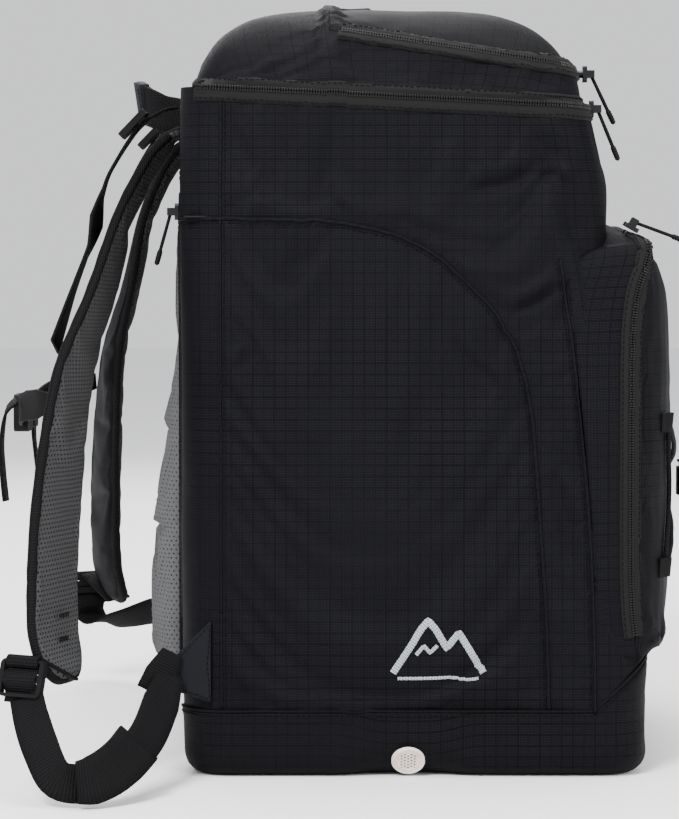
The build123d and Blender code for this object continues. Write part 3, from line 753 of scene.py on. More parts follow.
def pocket_gusset(cover):
    """Grid of the gusset between the body and the cover's edge: up the left, over, down the right."""
    rows = [cover[i, 0] for i in range(cover.shape[0])]
    rows += [cover[-1, j] for j in range(1, cover.shape[1] - 1)]
    rows += [cover[i, -1] for i in range(cover.shape[0] - 1, -1, -1)]
    points = []
    for edge in rows:
        _, y, z = edge
        over = np.clip((z - (POCKET_HIGH - 22)) / 22, 0, 1) ** 2
        side = np.clip((abs(y) - (POCKET_HALF - 14)) / 14, 0, 1)
        root_x = float(front_x(z)) - CORNER - SEAM_BACK + 1.5
        on_side = np.array([root_x, math.copysign(HALF + 0.6, y), min(z - 1, 336 + 0.1 * z)])
        root_top = float(front_x(366)) - 1.5
        y_top = math.copysign(min(abs(y), HALF - 3), y) if y else 0
        deep = max(0, abs(y_top) - (HALF - CORNER))
        round_off = CORNER - math.sqrt(max(CORNER**2 - deep**2, 0))
        on_top = np.array([root_top - round_off, y_top, z + 9 - 20 * (abs(y_top) / HALF) ** 6])
        root = on_side * side * (1 - 0.75 * over) + on_top * (1 - side * (1 - 0.75 * over))
        line = []
        for t in np.linspace(0, 1, 12):
            p = edge * (1 - t) + root * t
            swell = math.sin(math.pi * t) * 1.2
            p = p + np.array([0, math.copysign(swell * side, y), swell * (1 - side)])
            line.append(p)
        points.append(line)
    return np.array(points)


PAD_RUN = [
    ((-155, -79, 427), (0, 1, 0), 32),
    ((-165, -84, 423), (0, 1, 0), 38),
    ((-175, -89, 413), (0, 1, 0), 42),
    ((-183, -94, 400), (0, 1, 0), 46),
    ((-197, -107, 368), (0.05, 1, 0), 52),
    ((-210, -130, 318), (0.15, 1, 0), 60),
    ((-224, -160, 270), (0.25, 1, 0), 67),
    ((-231, -186, 212), (0.32, 1, 0), 67),
    ((-234, -203, 158), (0.36, 1, 0), 67),
    ((-234, -213, 108), (0.36, 1, 0), 66),
    ((-230, -217, 86), (0.36, 1, 0), 60),
    ((-226.5, -218.5, 76), (0.36, 1, 0), 44),
    ((-225, -219, 71), (0.36, 1, 0), 24),
]


def mirror(points, hand):
    """The left side's points, or their mirror images on the right when hand is 1."""
    return [Vector((p[0], -hand * p[1], p[2])) for p in points]


def stations_along(run, hand, step):
    """Smooth centres, across vectors and widths along a strap's stations."""
    coarse = mirror([c for c, _, _ in run], hand)
    centres = smooth_path(coarse, step)
    lengths, fine = distances(coarse), distances(centres)
    fine = fine / fine[-1] * lengths[-1]
    across = np.array([Vector(a).normalized() for a in mirror([a for _, a, _ in run], hand)])
    widths = np.array([w for _, _, w in run])
    out = []
    for centre, at in zip(centres, fine):
        a = Vector([float(np.interp(at, lengths, across[:, k])) for k in range(3)]).normalized()
        out.append((centre, a, float(np.interp(at, lengths, widths))))
    return out


PAD_SIDES = 36


def strap_pad(hand):
    """Closed grid of a shoulder pad: a crowned foam section swept from the yoke to its rounded end."""
    rings = []
    run = stations_along(PAD_RUN, hand, 4.0)
    path = [centre for centre, _, _ in run]
    for i, (centre, across, width) in enumerate(run):
        out = across.cross(heading(path, i)).normalized() * (1 if hand < 0 else -1)
        if out.x > 0:
            out = -out
        thick = 6.9 * min(1, 0.35 + width / 70) * (0.75 if i < 3 else 1)
        ring = []
        for k in range(PAD_SIDES):
            a = 2 * math.pi * k / PAD_SIDES
            c, s = math.cos(a), math.sin(a)
            flat = math.copysign(abs(c) ** 0.7, c) * (width / 2 - 1.2)
            high = math.copysign(abs(s) ** 0.62, s) * thick
            ring.append(centre + across * flat + out * high)
        rings.append(ring)
    return np.array(rings)


# The back pad's face as (x, z), and what its sewn channels run along
PAD_ROOT = -154
BACK_PAD_HALF = 130.5
CHANNEL_Y = 0.27  # of its half width
CHANNEL_ZS = (158, 226)
BACK_PAD = [(-154, 57), (-168, 66), (-177, 80), (-181, 120), (-175, 190), (-163.6, 262), (-159.6, 296)]
BACK_PAD += [(-163.2, 335), (-162.4, 362), (-159, 376), (-154, 383)]


def back_pad_face():
    """Grid of the back pad's face, crowned across and pulled in at its sewn channels."""
    run = smooth_path([(x, 0, z) for x, z in BACK_PAD], 4.0)
    ys = np.sin(np.linspace(-math.pi / 2, math.pi / 2, 65)) * 0.4 + np.linspace(-1, 1, 65) * 0.6
    points = np.zeros((len(run), len(ys), 3))
    for i, p in enumerate(run):
        for j, a in enumerate(ys):
            crown = (1 - abs(a) ** 7) ** 0.5
            depth = (PAD_ROOT - p.x) * crown
            y = a * BACK_PAD_HALF * (1 - 0.03 * (2 * i / len(run) - 1) ** 8)
            depth *= 1 - 0.42 * math.exp(-((abs(a) - CHANNEL_Y) / 0.022) ** 2)
            for z_line in CHANNEL_ZS:
                depth *= 1 - 0.3 * math.exp(-((p.z - z_line) / 3.4) ** 2)
            points[i, j] = (PAD_ROOT - depth, y, p.z)
    return points


# ---------------------------------------------------------------- settle the soft forms

body_pts, body_nrm, body_run = body_skin()
for i in range(len(ROWS)):
    for j in range(COLS):
        body_pts[i, j] += body_nrm[i, j] * relief(body_pts[i, j], body_nrm[i, j])

lid_pts, lid_uv = lid_dome()
lid_nrm = grid_normals(lid_pts)
for i in range(2, lid_pts.shape[0]):
    for j in range(lid_pts.shape[1]):
        lid_pts[i, j] += lid_nrm[i, j] * lid_relief(lid_pts[i, j])

cover_pts = pocket_cover()
cover_nrm = grid_normals(cover_pts, wrap=False)
for i in range(2, cover_pts.shape[0] - 2):
    for j in range(2, cover_pts.shape[1] - 2):
        x, y, z = cover_pts[i, j]
        slack = 1.7 * noise.noise(Vector((x * 0.01, y * 0.012, z * 0.016)))
        slack += 0.6 * noise.noise(Vector((x * 0.04, y * 0.035, z * 0.05)))
        cover_pts[i, j] += cover_nrm[i, j] * slack
gusset_pts = pocket_gusset(cover_pts)
pads = {-1: strap_pad(-1), 1: strap_pad(1)}
back_pts = back_pad_face()


def body_pins():
    """Where the body's cloth is held: rim, base seam, back, corners and the piped seams."""
    pins = np.zeros((len(ROWS), COLS))
    pins[:2] = 1
    pins[-3:] = 1
    for j, (zone, f, _) in enumerate(RING):
        if zone in ("rear", "back"):
            pins[:, j] = 1
        if (zone == "flap" and f == 0) or (zone == "corner" and f < 0.2):
            pins[:, j] = np.maximum(pins[:, j], 0.8)
        if zone in ("flap", "side"):
            for i in range(len(ROWS)):
                away = arch_distance(body_pts[i, j, 0], body_pts[i, j, 2])
                pins[i, j] = max(pins[i, j], 0.9 if away < 5 else 0.05)
    return pins


def lid_pins():
    """Where the lid's cloth is held: its rim, the goggle pocket's zip and its fold line."""
    pins = np.zeros(lid_pts.shape[:2])
    heights, xs = lid_pts[:, :, 2], lid_pts[:, :, 0]
    near_zip = (np.abs(heights - top_zip(xs)) < 4) & (xs > TOP_HINGE)
    pins[near_zip | (np.abs(xs - TOP_HINGE) < 4)] = 0.9
    pins[:3] = 1
    pins[-1] = 0.3
    return pins


def edge_pins(points, inner=0.0):
    """Pins on a grid's four edges."""
    pins = np.full(points.shape[:2], inner)
    pins[:2] = pins[-2:] = 1
    pins[:, :2] = pins[:, -2:] = 1
    return pins


def pad_pins(points):
    """Pins along a shoulder pad's two bound edges and at its ends."""
    pins = np.zeros(points.shape[:2])
    for k in (-1, 0, 1):
        pins[:, k] = pins[:, PAD_SIDES // 2 + k] = 1
    pins[:3] = pins[-2:] = 1
    return pins


def back_pins():
    """Pins along the back pad's edges and its sewn channels."""
    pins = edge_pins(back_pts)
    for i in range(pins.shape[0]):
        for j in range(pins.shape[1]):
            y, z = back_pts[i, j, 1:]
            in_channel = min(abs(z - z_line) for z_line in CHANNEL_ZS) < 2.2
            if in_channel or abs(abs(y) / BACK_PAD_HALF - CHANNEL_Y) < 0.02:
                pins[i, j] = 1
    return pins


def job(name, points, pins, pressure, shrink=0.012, cap=5.0, wrap=True, end=None):
    """One draped grid, ready to be settled with the others."""
    flat = points.reshape(-1, 3)
    faces = grid_faces(*points.shape[:2], wrap=wrap)
    if end:
        faces.append(end)
    return drape(f"{name}_cloth", flat, faces, pins.ravel(), shrink, pressure), flat, cap


lid_rows, lid_cols = lid_pts.shape[:2]
lid_cap = tuple(range((lid_rows - 1) * lid_cols, lid_rows * lid_cols))
jobs = {
    "body": job("body", body_pts, body_pins(), 1.2),
    "lid": job("lid", lid_pts, lid_pins(), 1.2, end=lid_cap),
    "cover": job("cover", cover_pts, edge_pins(cover_pts, 0.05), 1.0, cap=3.0, wrap=False),
    "back": job("back", back_pts, back_pins(), 3.0, 0.02, wrap=False),
    "pad_left": job("pad_left", pads[-1], pad_pins(pads[-1]), 2.0, 0.015, 2.5),
    "pad_right": job("pad_right", pads[1], pad_pins(pads[1]), 2.0, 0.015, 2.5),
}
rest = settle_all(jobs)
body_pts = rest["body"].reshape(body_pts.shape)
lid_pts = rest["lid"].reshape(lid_pts.shape)
cover_pts = rest["cover"].reshape(cover_pts.shape)
back_pts = rest["back"].reshape(back_pts.shape)
pads = {-1: rest["pad_left"].reshape(pads[-1].shape), 1: rest["pad_right"].reshape(pads[1].shape)}

# ---------------------------------------------------------------- pieces laid on the surfaces


def tree_of(*grids):
    """A search tree over grids, each (points, wrap)."""
    verts, faces = [], []
    for points, wrap in grids:
        start = len(verts)
        verts += [Vector(p) for p in points.reshape(-1, 3)]
        faces += [tuple(k + start for k in f) for f in grid_faces(*points.shape[:2], wrap=wrap)]
    return BVHTree.FromPolygons(verts, faces)


body_out = grid_normals(body_pts)
body_tree = tree_of((body_pts, True), (lid_pts, True))
lid_tree = tree_of((lid_pts, True))
cover_tree = tree_of((cover_pts, False))
pocket_tree = tree_of((cover_pts, False), (gusset_pts[:, ::-1], False))


def grid_object(name, points, uvs, wrap=False):
    """An object of a grid's faces."""
    faces = grid_faces(*points.shape[:2], wrap=wrap)
    return new_object(name, points.reshape(-1, 3), faces, uvs.reshape(-1, 2))


def resampled(path, step):
    """Points evenly spaced along a path."""
    path = [Vector(p) for p in path]
    lengths = distances(path)
    count = max(2, round(lengths[-1] / step) + 1)
    where = np.linspace(0, lengths[-1], count)
    coords = np.array(path)
    return [Vector([float(np.interp(w, lengths, coords[:, k])) for k in range(3)]) for w in where]


def frames_on(path, tree, up):
    """Each path point dropped on the surface, with its normal and the direction across the path
    that is nearest to up."""
    out = []
    for i, p in enumerate(path):
        hit, normal, _, _ = tree.find_nearest(p)
        across = normal.cross(heading(path, i)).normalized()
        want = up(p) if callable(up) else Vector(up)
        if across.dot(want) < 0:
            across = -across
        out.append((hit, normal, across))
    return out


def strip_on(name, frames, low, high, tree, lift, cols=7):
    """A ribbon laid on a surface from low to high across its path, its two edges tucked down."""
    points = np.zeros((len(frames), cols, 3))
    uvs = np.zeros((len(frames), cols, 2))
    run = 0.0
    for i, (p, _, across) in enumerate(frames):
        if i:
            run += (p - frames[i - 1][0]).length
        for k in range(cols):
            t = low + (high - low) * k / (cols - 1)
            hit, normal, _, _ = tree.find_nearest(p + across * t)
            tuck = 0.15 if k in (0, cols - 1) else 1.0
            points[i, k] = hit + normal * (lift * tuck)
            uvs[i, k] = (run, t)
    if facing_in(points, frames):
        points, uvs = points[:, ::-1], uvs[:, ::-1]
    return grid_object(name, points, uvs)


def facing_in(points, frames):
    """Whether a ribbon's faces look against its surface's normal."""
    along = Vector(points[1, 0] - points[0, 0])
    over = Vector(points[0, -1] - points[0, 0])
    return over.cross(along).dot(frames[0][1]) < 0


def teeth_on(name, frames, centre, lift):
    """A row of small moulded teeth along a path, centre millimetres beside it."""
    pitch, width = 1.7, 1.7
    verts, faces = [], []
    lengths = distances([f[0] for f in frames])
    for spot in np.arange(pitch, lengths[-1] - pitch / 2, pitch):
        k = min(int(np.searchsorted(lengths, spot)), len(frames) - 1)
        p, normal, across = frames[k]
        ahead = (p - frames[k - 1][0]).normalized()
        p = p - ahead * (lengths[k] - spot) + across * centre + normal * lift
        start = len(verts)
        for high, shrink in ((-0.6, 1.0), (0.1, 1.0), (0.42, 0.7)):
            for sx, sy in ((-1, -1), (1, -1), (1, 1), (-1, 1)):
                flat = ahead * sx * pitch * 0.36 * shrink + across * sy * width / 2 * shrink
                verts.append(p + flat + normal * high)
        faces += [tuple(start + k for k in face) for face in grid_faces(3, 4, wrap=True)]
        faces.append(tuple(start + 8 + a for a in range(4)))
    return new_object(name, verts, faces, [(0, 0)] * len(verts), smooth=False)


def stitches_on(name, frames, offset, lift=0.35, pitch=3.6, tree=None):
    """A row of lockstitches along a path: short thread pillows with gaps between them."""
    radius, sides = 0.32, 5
    verts, faces = [], []
    lengths = distances([f[0] for f in frames])
    for spot in np.arange(pitch / 2, lengths[-1] - pitch / 2, pitch):
        k = max(1, min(int(np.searchsorted(lengths, spot)), len(frames) - 1))
        p, normal, across = frames[k]
        ahead = (p - frames[k - 1][0]).normalized()
        p = p - ahead * (lengths[k] - spot) + across * offset
        if tree:
            p, normal, _, _ = tree.find_nearest(p)
        p = p + normal * lift
        start = len(verts)
        for t, r in ((-1, 0.35), (-0.55, 1), (0.55, 1), (1, 0.35)):
            for a in range(sides):
                turn = 2 * math.pi * a / sides
                flat, high = across * math.cos(turn) * 1.25, normal * math.sin(turn)
                rim_point = (flat + high) * r * radius
                verts.append(p + ahead * t * pitch * 0.36 + rim_point)
        for level in range(3):
            for a in range(sides):
                b = (a + 1) % sides
                low, high = start + level * sides, start + (level + 1) * sides
                faces.append((low + a, high + a, high + b, low + b))
    return new_object(name, verts, faces, [(0, 0)] * len(verts))


def solid_cloth(obj, thick=CLOTH_THICK):
    """Gives a sheet its real thickness, inwards, with the second material inside."""
    modified(obj, "SOLIDIFY", thickness=thick * MM, offset=-1.0, material_offset=1)
    return obj


def shell_object(name, points, uvs, normals, thick, hole=None):
    """A sheet of real thickness cut from a grid: its outside keeps the whole grid's normals, so
    that no shading edge shows where it meets its neighbour, and its inside is the lining."""
    cols = points.shape[1]
    faces = grid_faces(*points.shape[:2])
    if hole:
        faces = [f for f in faces if not hole(*divmod(f[0], cols))]
    used = sorted({k for f in faces for k in f})
    place = {k: n for n, k in enumerate(used)}
    faces = [tuple(place[k] for k in f) for f in faces]
    outer, out = points.reshape(-1, 3)[used], normals.reshape(-1, 3)[used]
    count = len(used)
    seen = {pair: True for f in faces for pair in zip(f, f[1:] + f[:1])}
    rim_faces = [(b, a, a + count, b + count) for a, b in seen if (b, a) not in seen]
    inside = [tuple(k + count for k in reversed(f)) for f in faces]
    flat = uvs.reshape(-1, 2)[used]
    verts = np.concatenate([outer, outer - out * thick])
    obj = new_object(name, verts, faces + inside + rim_faces, np.concatenate([flat, flat]))
    material = np.zeros(len(obj.data.polygons), np.int32)
    material[len(faces) : len(faces) * 2] = 1
    obj.data.polygons.foreach_set("material_index", material)
    obj.data.normals_split_custom_set_from_vertices(np.concatenate([out, -out]).tolist())
    return obj


# ---------------------------------------------------------------- body


def span(first, last):
    """Column numbers from first to last, ends included, round the ring."""
    count = (last - first) % COLS
    return [(first + k) % COLS for k in range(count + 1)]


def skin(name, rows, cols, flat, hole=None):
    """A piece of the body's skin, laid out flat for its weave as a side, front or back."""
    block = np.ix_(rows, cols)
    points = body_pts[block]
    runs = body_run[block]
    if flat == "front":
        middle = body_run[rows, COLS // 2][:, None]
        hands = np.where(np.array(cols) <= COLS // 2, 1, -1)[None, :]
        u = (runs - middle) * hands
    elif flat == "back":
        u = -points[:, :, 1]
    else:
        u = runs * (1 if cols[0] < COLS // 2 else -1)
    uvs = np.stack([u, points[:, :, 2]], axis=2)
    return shell_object(name, points, uvs, body_out[block], CLOTH_THICK, hole)


every = list(range(len(ROWS)))
REAR, SIDE, CORNER_COL = START["rear"], START["side"], START["corner"]
door_rows = list(range(LOW_ROW, HIGH_ROW + 1))


def side_and_door(name, side_cols, door_cols, in_door):
    """One side's panel, with the boot door's opening, and the door."""

    def hole(i, j):
        return LOW_ROW <= i < HIGH_ROW and in_door(j)

    panel = skin(f"side_{name}_cloth", every, side_cols, "side", hole)
    finish_piece(panel, (cloth, lining), "bag", f"side_panel_{name}")
    door = skin(f"boot_door_{name}_cloth", door_rows, door_cols, "side")
    finish_piece(door, (cloth, lining), None, f"boot_flap_{name}")
    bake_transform(door)


side_and_door("left", span(REAR, CORNER_COL), span(REAR, SIDE), lambda j: j < SIDE - REAR)
right_side, right_door = span(COLS - CORNER_COL, COLS - REAR), span(COLS - SIDE, COLS - REAR)
side_and_door("right", right_side, right_door, lambda j: j >= CORNER_COL - SIDE)
front = skin("front_cloth", every, span(CORNER_COL, COLS - CORNER_COL), "front")
finish_piece(front, (cloth, lining), "bag", "front_panel")
back = skin("back_cloth", every, span(COLS - REAR, REAR), "back")
finish_piece(back, (plain, lining), "bag", "back_panel")


def tub_grid():
    """Grid of the base tub: up its round bottom edge and its walls to the band's seam."""
    turns = [("round", a) for a in np.linspace(0, math.pi / 2, 10)]
    turns += [("wall", f) for f in np.linspace(0, 1, 9)[1:]]
    rings = [("floor", 0.86), ("floor", 0.95)] + turns
    points = np.zeros((len(rings), COLS, 3))
    uvs = np.zeros((len(rings), COLS, 2))
    for i, (kind, t) in enumerate(rings):
        for j, (zone, f, hand) in enumerate(RING):
            (x, y, nx, ny), s = station_point(zone, f, 43.0)
            bend = TUB_ROUND - 10.5 * (1 - math.exp(-(((x + 5) / 34) ** 4)))
            if kind == "floor":
                x, y, z, inset, run = x * t, y * t, 0.4, bend * t, -bend * 3 * (1 - t)
            elif kind == "round":
                inset, z, run = bend * (1 - math.sin(t)), bend * (1 - math.cos(t)), t * bend
                z += 0.3
            else:
                top = tub_edge(x) + 1.2
                inset, z = 0, bend + (top - bend) * t
                run = bend * math.pi / 2 + z - bend
                inset -= 1.1 * math.exp(-((t - 0.93) / 0.1) ** 2) * (0.4 if t == 1 else 1)
            soft = 1.5 * noise.noise(Vector((x * 0.016, y * hand * 0.016, z * 0.03 + 8)))
            soft += 1.1 * noise.noise(Vector((x * 0.045, y * hand * 0.045, z * 0.07 + 3)))
            calm = 1 - math.exp(-(((x + 5) / 24) ** 4))
            inset -= soft * (0.15 if kind == "floor" else calm) * min(1, z / 12)
            points[i, j] = (x - nx * inset, (y - ny * inset) * hand, z)
            uvs[i, j] = (s, run)
    return points, uvs


tub_pts, tub_uv = tub_grid()
tub_tree = tree_of((tub_pts, True))
tub = grid_object("base_tub_cloth", tub_pts, tub_uv, wrap=True)
mesh_edit = bmesh.new()
mesh_edit.from_mesh(tub.data)
edges = [e for e in mesh_edit.edges if e.is_boundary and e.verts[0].co.z < 0.002]
bmesh.ops.contextual_create(mesh_edit, geom=edges)
mesh_edit.to_mesh(tub.data)
mesh_edit.free()
solid_cloth(tub)
finish_piece(tub, (cloth, lining), "bag", "base_tub")

# ---------------------------------------------------------------- seams of the body


def seam(name, path, tree, body, radius, lift, offset, up=(1, 0, 0)):
    """A seam: a narrow piping along the path with a row of stitches beside it."""
    frames = frames_on(resampled(path, 3.0), tree, up)
    piping = tube(f"{name}_piping", [p + n * lift for p, n, _ in frames], radius, 8)
    finish_piece(piping, cloth, body)
    finish_piece(stitches_on(f"{name}_stitches_0", frames, offset, tree=tree), thread, body)


for hand, name in HANDS:
    arch = [Vector((x, hand * corner_y(x), z)) for x, z in ARCH_LINE]
    behind = [p for p in arch if p.x < FLAP_FOLD]
    ahead = [p for p in arch if p.x > FLAP_FOLD - 8]
    seam(f"arch_{name}", ahead, body_tree, "bag", 1.35, 0.35, -3.2, up=(0.4, 0, 1))
    seam(f"arch_rear_{name}", behind, body_tree, "bag", 1.35, 0.35, -3.2, up=(0, 0, 1))
    col = CORNER_COL if hand < 0 else COLS - CORNER_COL
    low = [Vector(p) for p in body_pts[:, col] if p[2] < 342]
    seam(f"corner_{name}", low, body_tree, "bag", 1.25, 0.35, -3.0)
    for part_name, body, zs in (
        ("low", "bag", (46, FLAP_LOW)),
        ("door", f"flap_{name}", (FLAP_LOW, FLAP_HIGH)),
        ("top", "bag", (FLAP_HIGH, 442)),
    ):
        rear = [Vector((REAR_SEAM, hand * corner_y(REAR_SEAM), z)) for z in zs]
        seam(f"rear_seam_{part_name}_{name}", rear, body_tree, body, 1.0, 0.3, 3.0)
tub_rim = [Vector(tub_pts[-1, j]) for j in range(REAR, COLS - REAR + 1)]
seam("base_band", tub_rim, tub_tree, "bag", 0.9, 0.2, -3.0, up=(0, 0, 1))

# ---------------------------------------------------------------- zips


def zip_line(name, path, tree, up, lift, *halves):
    """A closed zip along a path: each half, the lower and then the upper, is its body, its tape's
    width and the CAD nodes the tape stands for."""
    frames = frames_on(resampled(path, 2.6), tree, up)
    for half, way, (body, wide, *replaced) in zip(("lower", "upper"), (-1, 1), halves):
        first, last = sorted((way * 0.12, way * wide))
        tape_piece = strip_on(f"{name}_tape_{half}", frames, first, last, tree, lift)
        finish_piece(tape_piece, tape, body, *replaced)
        row = teeth_on(f"{name}_teeth_{half}", frames, way * 0.95, lift + 0.25)
        finish_piece(row, teeth, body)
        sewn = stitches_on(f"{name}_stitches_{half}", frames, way * (wide - 1.6), lift + 0.1, tree=tree)
        finish_piece(sewn, thread, body)


def lid_ring():
    """The lid zip's path round the rim, from one rear corner to the other."""
    edge = [body_pts[-1, j] for j in span(REAR, COLS - REAR)]
    return [Vector((x, y, rim(x) + 0.1)) for x, y, _ in edge if x > -146.5]


def crossing(column, height):
    """Where a lid column crosses a height that depends on x, or None."""
    gap = column[:, 2] - height(column[:, 0])
    for k in range(len(gap) - 1):
        if gap[k] < 0 <= gap[k + 1]:
            t = gap[k] / (gap[k] - gap[k + 1])
            return Vector(column[k] * (1 - t) + column[k + 1] * t)
    return None


def top_ring():
    """The goggle pocket zip's path over the lid, from one end of its fold to the other."""
    half_turn = lid_cols // 2
    found = [crossing(lid_pts[:, k % lid_cols], top_zip) for k in range(-half_turn, half_turn)]
    return [p for p in found if p is not None and p.x > TOP_HINGE + 3.5]


lid_halves = ("bag", 9, "lid_zip_lower"), ("lid", 7.5, "lid_zip_upper")
zip_line("lid_zip", lid_ring(), body_tree, (0, 0, 1), 2.0, *lid_halves)
top_halves = ("lid", 7, "top_zip_lower"), ("goggle_flap", 7, "top_zip_upper")
zip_line("top_zip", top_ring(), lid_tree, (0, 0, 1), 2.6, *top_halves)
edge_path = [Vector(row[0]) for row in gusset_pts if row[0][2] > 90]
front_halves = ("bag", 7.5, "front_zip_inner"), ("pocket_cover", 7.5, "front_zip_outer")
inside_pocket = Vector((210, 0, 215))
zip_line("front_zip", edge_path, pocket_tree, lambda p: inside_pocket - p, 1.7, *front_halves)
for hand, name in HANDS:
    line = [Vector((BACK, hand * 143, z)) for z in (103, 370)]
    boot_halves = ("bag", 6, f"boot_zip_{name}"), (f"flap_{name}", 8)
    zip_line(f"boot_zip_{name}", line, body_tree, (0, hand, 0), 0.9, *boot_halves)

# ---------------------------------------------------------------- lid


def lid_parts():
    """The lid's dome cut at the goggle pocket's zip into its shell and the pocket's flap."""
    faces = grid_faces(lid_rows, lid_cols, wrap=True) + [lid_cap]
    whole = new_object("lid_whole", lid_pts.reshape(-1, 3), faces, lid_uv.reshape(-1, 2))
    cuts = (((TOP_ZIP_X, 0, TOP_ZIP_Z), (TOP_ZIP_SLOPE, 0, 1)), ((TOP_HINGE, 0, TOP_ZIP_Z), (1, 0, 0)))
    out = []
    for name, keep_flap in (("lid_shell_cloth", False), ("goggle_flap_cloth", True)):
        piece = whole.copy()
        piece.data = whole.data.copy()
        piece.name = name
        bpy.context.scene.collection.objects.link(piece)
        edit = bmesh.new()
        edit.from_mesh(piece.data)
        for co, no in cuts:
            geom = edit.verts[:] + edit.edges[:] + edit.faces[:]
            bmesh.ops.bisect_plane(edit, geom=geom, plane_co=Vector(co) * MM, plane_no=no)
        gone = []
        for face in edit.faces:
            c = face.calc_center_median() / MM
            in_flap = c.x > TOP_HINGE and c.z > top_zip(c.x)
            if in_flap != keep_flap:
                gone.append(face)
        bmesh.ops.delete(edit, geom=gone, context="FACES")
        edit.to_mesh(piece.data)
        edit.free()
        out.append(piece)
    bpy.data.objects.remove(whole)
    return out


shell, flap = lid_parts()
finish_piece(solid_cloth(shell), (cloth, lining), "lid", "lid_shell")
finish_piece(solid_cloth(flap), (cloth, lining), "goggle_flap", "top_flap")


def liner_grid():
    """Grid of the mesh liner: a rounded rectangle that hangs a little between the lid's edges."""
    points = np.zeros((40, 52, 3))
    for i, a in enumerate(np.linspace(-1, 1, 40)):
        for j, b in enumerate(np.linspace(-1, 1, 52)):
            pull = 1 - 0.05 * (a * a * b * b) ** 4
            x, y = -18.5 + 125.5 * a * pull, -176 * b * pull
            hang = bulge(np.clip((x + 145) / 252, 0, 1)) * bulge(np.clip((y + 177) / 354, 0, 1))
            points[i, j] = (x, y, rim(x) + 5.5 - 2.1 * hang)
    return points


liner_pts = liner_grid()
liner = grid_object("lid_liner_mesh", liner_pts, liner_pts[:, :, :2])
finish_piece(solid_cloth(liner, 0.8), (strap_mesh, strap_mesh), "lid", "lid_liner")

# ---------------------------------------------------------------- boot compartments


def pod_grid(hand):
    """Grid of a boot compartment's inner wall and arched roof."""
    spine = [(x - 1, z + 1.2 if x < FLAP_FOLD else z - 1) for x, z in ARCH_LINE if z > 50 and x > -150]
    spine = [(-151, 367.2)] + spine + [(84, 10)]
    spine = [(p.x, p.z) for p in resampled([(x, 0, z) for x, z in spine], 6)]
    rows = []
    for x, z in spine:
        line = [(x, hand * y, z) for y in np.linspace(178.2, 66, 14)]
        for a in np.linspace(0, math.pi / 2, 6)[1:]:
            inset = 14 * (1 - math.cos(a))
            line.append((x - inset * 0.35, hand * (66 - 14 * math.sin(a)), z - inset))
        end_x, _, end_z = line[-1]
        for t in np.linspace(0, 1, 20)[1:]:
            px = end_x + (min(max(end_x, -149), 84) - end_x) * t
            line.append((px, hand * 52, end_z + (7 - end_z) * t))
        rows.append(line)
    points = np.array(rows, float)
    points[:, :, 2] = np.maximum(points[:, :, 2], 5.0)
    for i in range(points.shape[0]):
        for j in range(14, points.shape[1]):
            x, y, z = points[i, j]
            points[i, j, 1] -= hand * 1.5 * (0.5 + noise.noise(Vector((x * 0.02, z * 0.02, hand))))
    return points


for hand, name in HANDS:
    pod = pod_grid(hand)
    flat = np.stack([pod[:, :, 0] + pod[:, :, 2], np.abs(pod[:, :, 1]) + pod[:, :, 2]], axis=2)
    piece = grid_object(f"boot_pod_{name}_cloth", pod, flat)
    modified(piece, "SOLIDIFY", thickness=0.0012, offset=0.0)
    finish_piece(piece, lining, "bag", f"boot_pod_{name}")

# ---------------------------------------------------------------- front pocket

cover = grid_object("pocket_cover_cloth", cover_pts, cover_pts[:, :, 1:])
finish_piece(solid_cloth(cover), (cloth, lining), "pocket_cover", "front_cover")
gusset_flat = np.zeros((*gusset_pts.shape[:2], 2))
for i in range(gusset_pts.shape[0]):
    for k in range(gusset_pts.shape[1]):
        step = np.linalg.norm(gusset_pts[i, 0] - gusset_pts[max(i - 1, 0), 0])
        along = gusset_flat[max(i - 1, 0), 0, 1] + (step if i else 0)
        gusset_flat[i, k] = (np.linalg.norm(gusset_pts[i, k] - gusset_pts[i, 0]), along)
gusset = grid_object("pocket_gusset_cloth", gusset_pts[:, ::-1], gusset_flat[:, ::-1])
finish_piece(solid_cloth(gusset, 2.0), (cloth, lining), "bag", "front_gusset")

# ---------------------------------------------------------------- pads


def ring_uvs(points):
    """Cloth coordinates of a closed loft: along its run and round its section."""
    rows, cols = points.shape[:2]
    uvs = np.zeros((rows, cols, 2))
    run = 0.0
    for i in range(rows):
        centre = points[i].mean(0)
        if i:
            run += float(np.linalg.norm(centre - points[i - 1].mean(0)))
        for k in range(cols):
            over = 2 * math.pi * k / cols
            half_width = np.linalg.norm(points[i, 0] - points[i, cols // 2]) / 2
            across = math.copysign(abs(math.cos(over)) ** 0.7, math.cos(over)) * half_width
            uvs[i, k] = (across + (0 if math.sin(over) > 0 else 200), run)
    return uvs


def loft_object(name, points, uvs):
    """A closed loft with its two ends capped."""
    faces = capped_faces(*points.shape[:2])
    return turned_out(new_object(name, points.reshape(-1, 3), faces, uvs.reshape(-1, 2)))


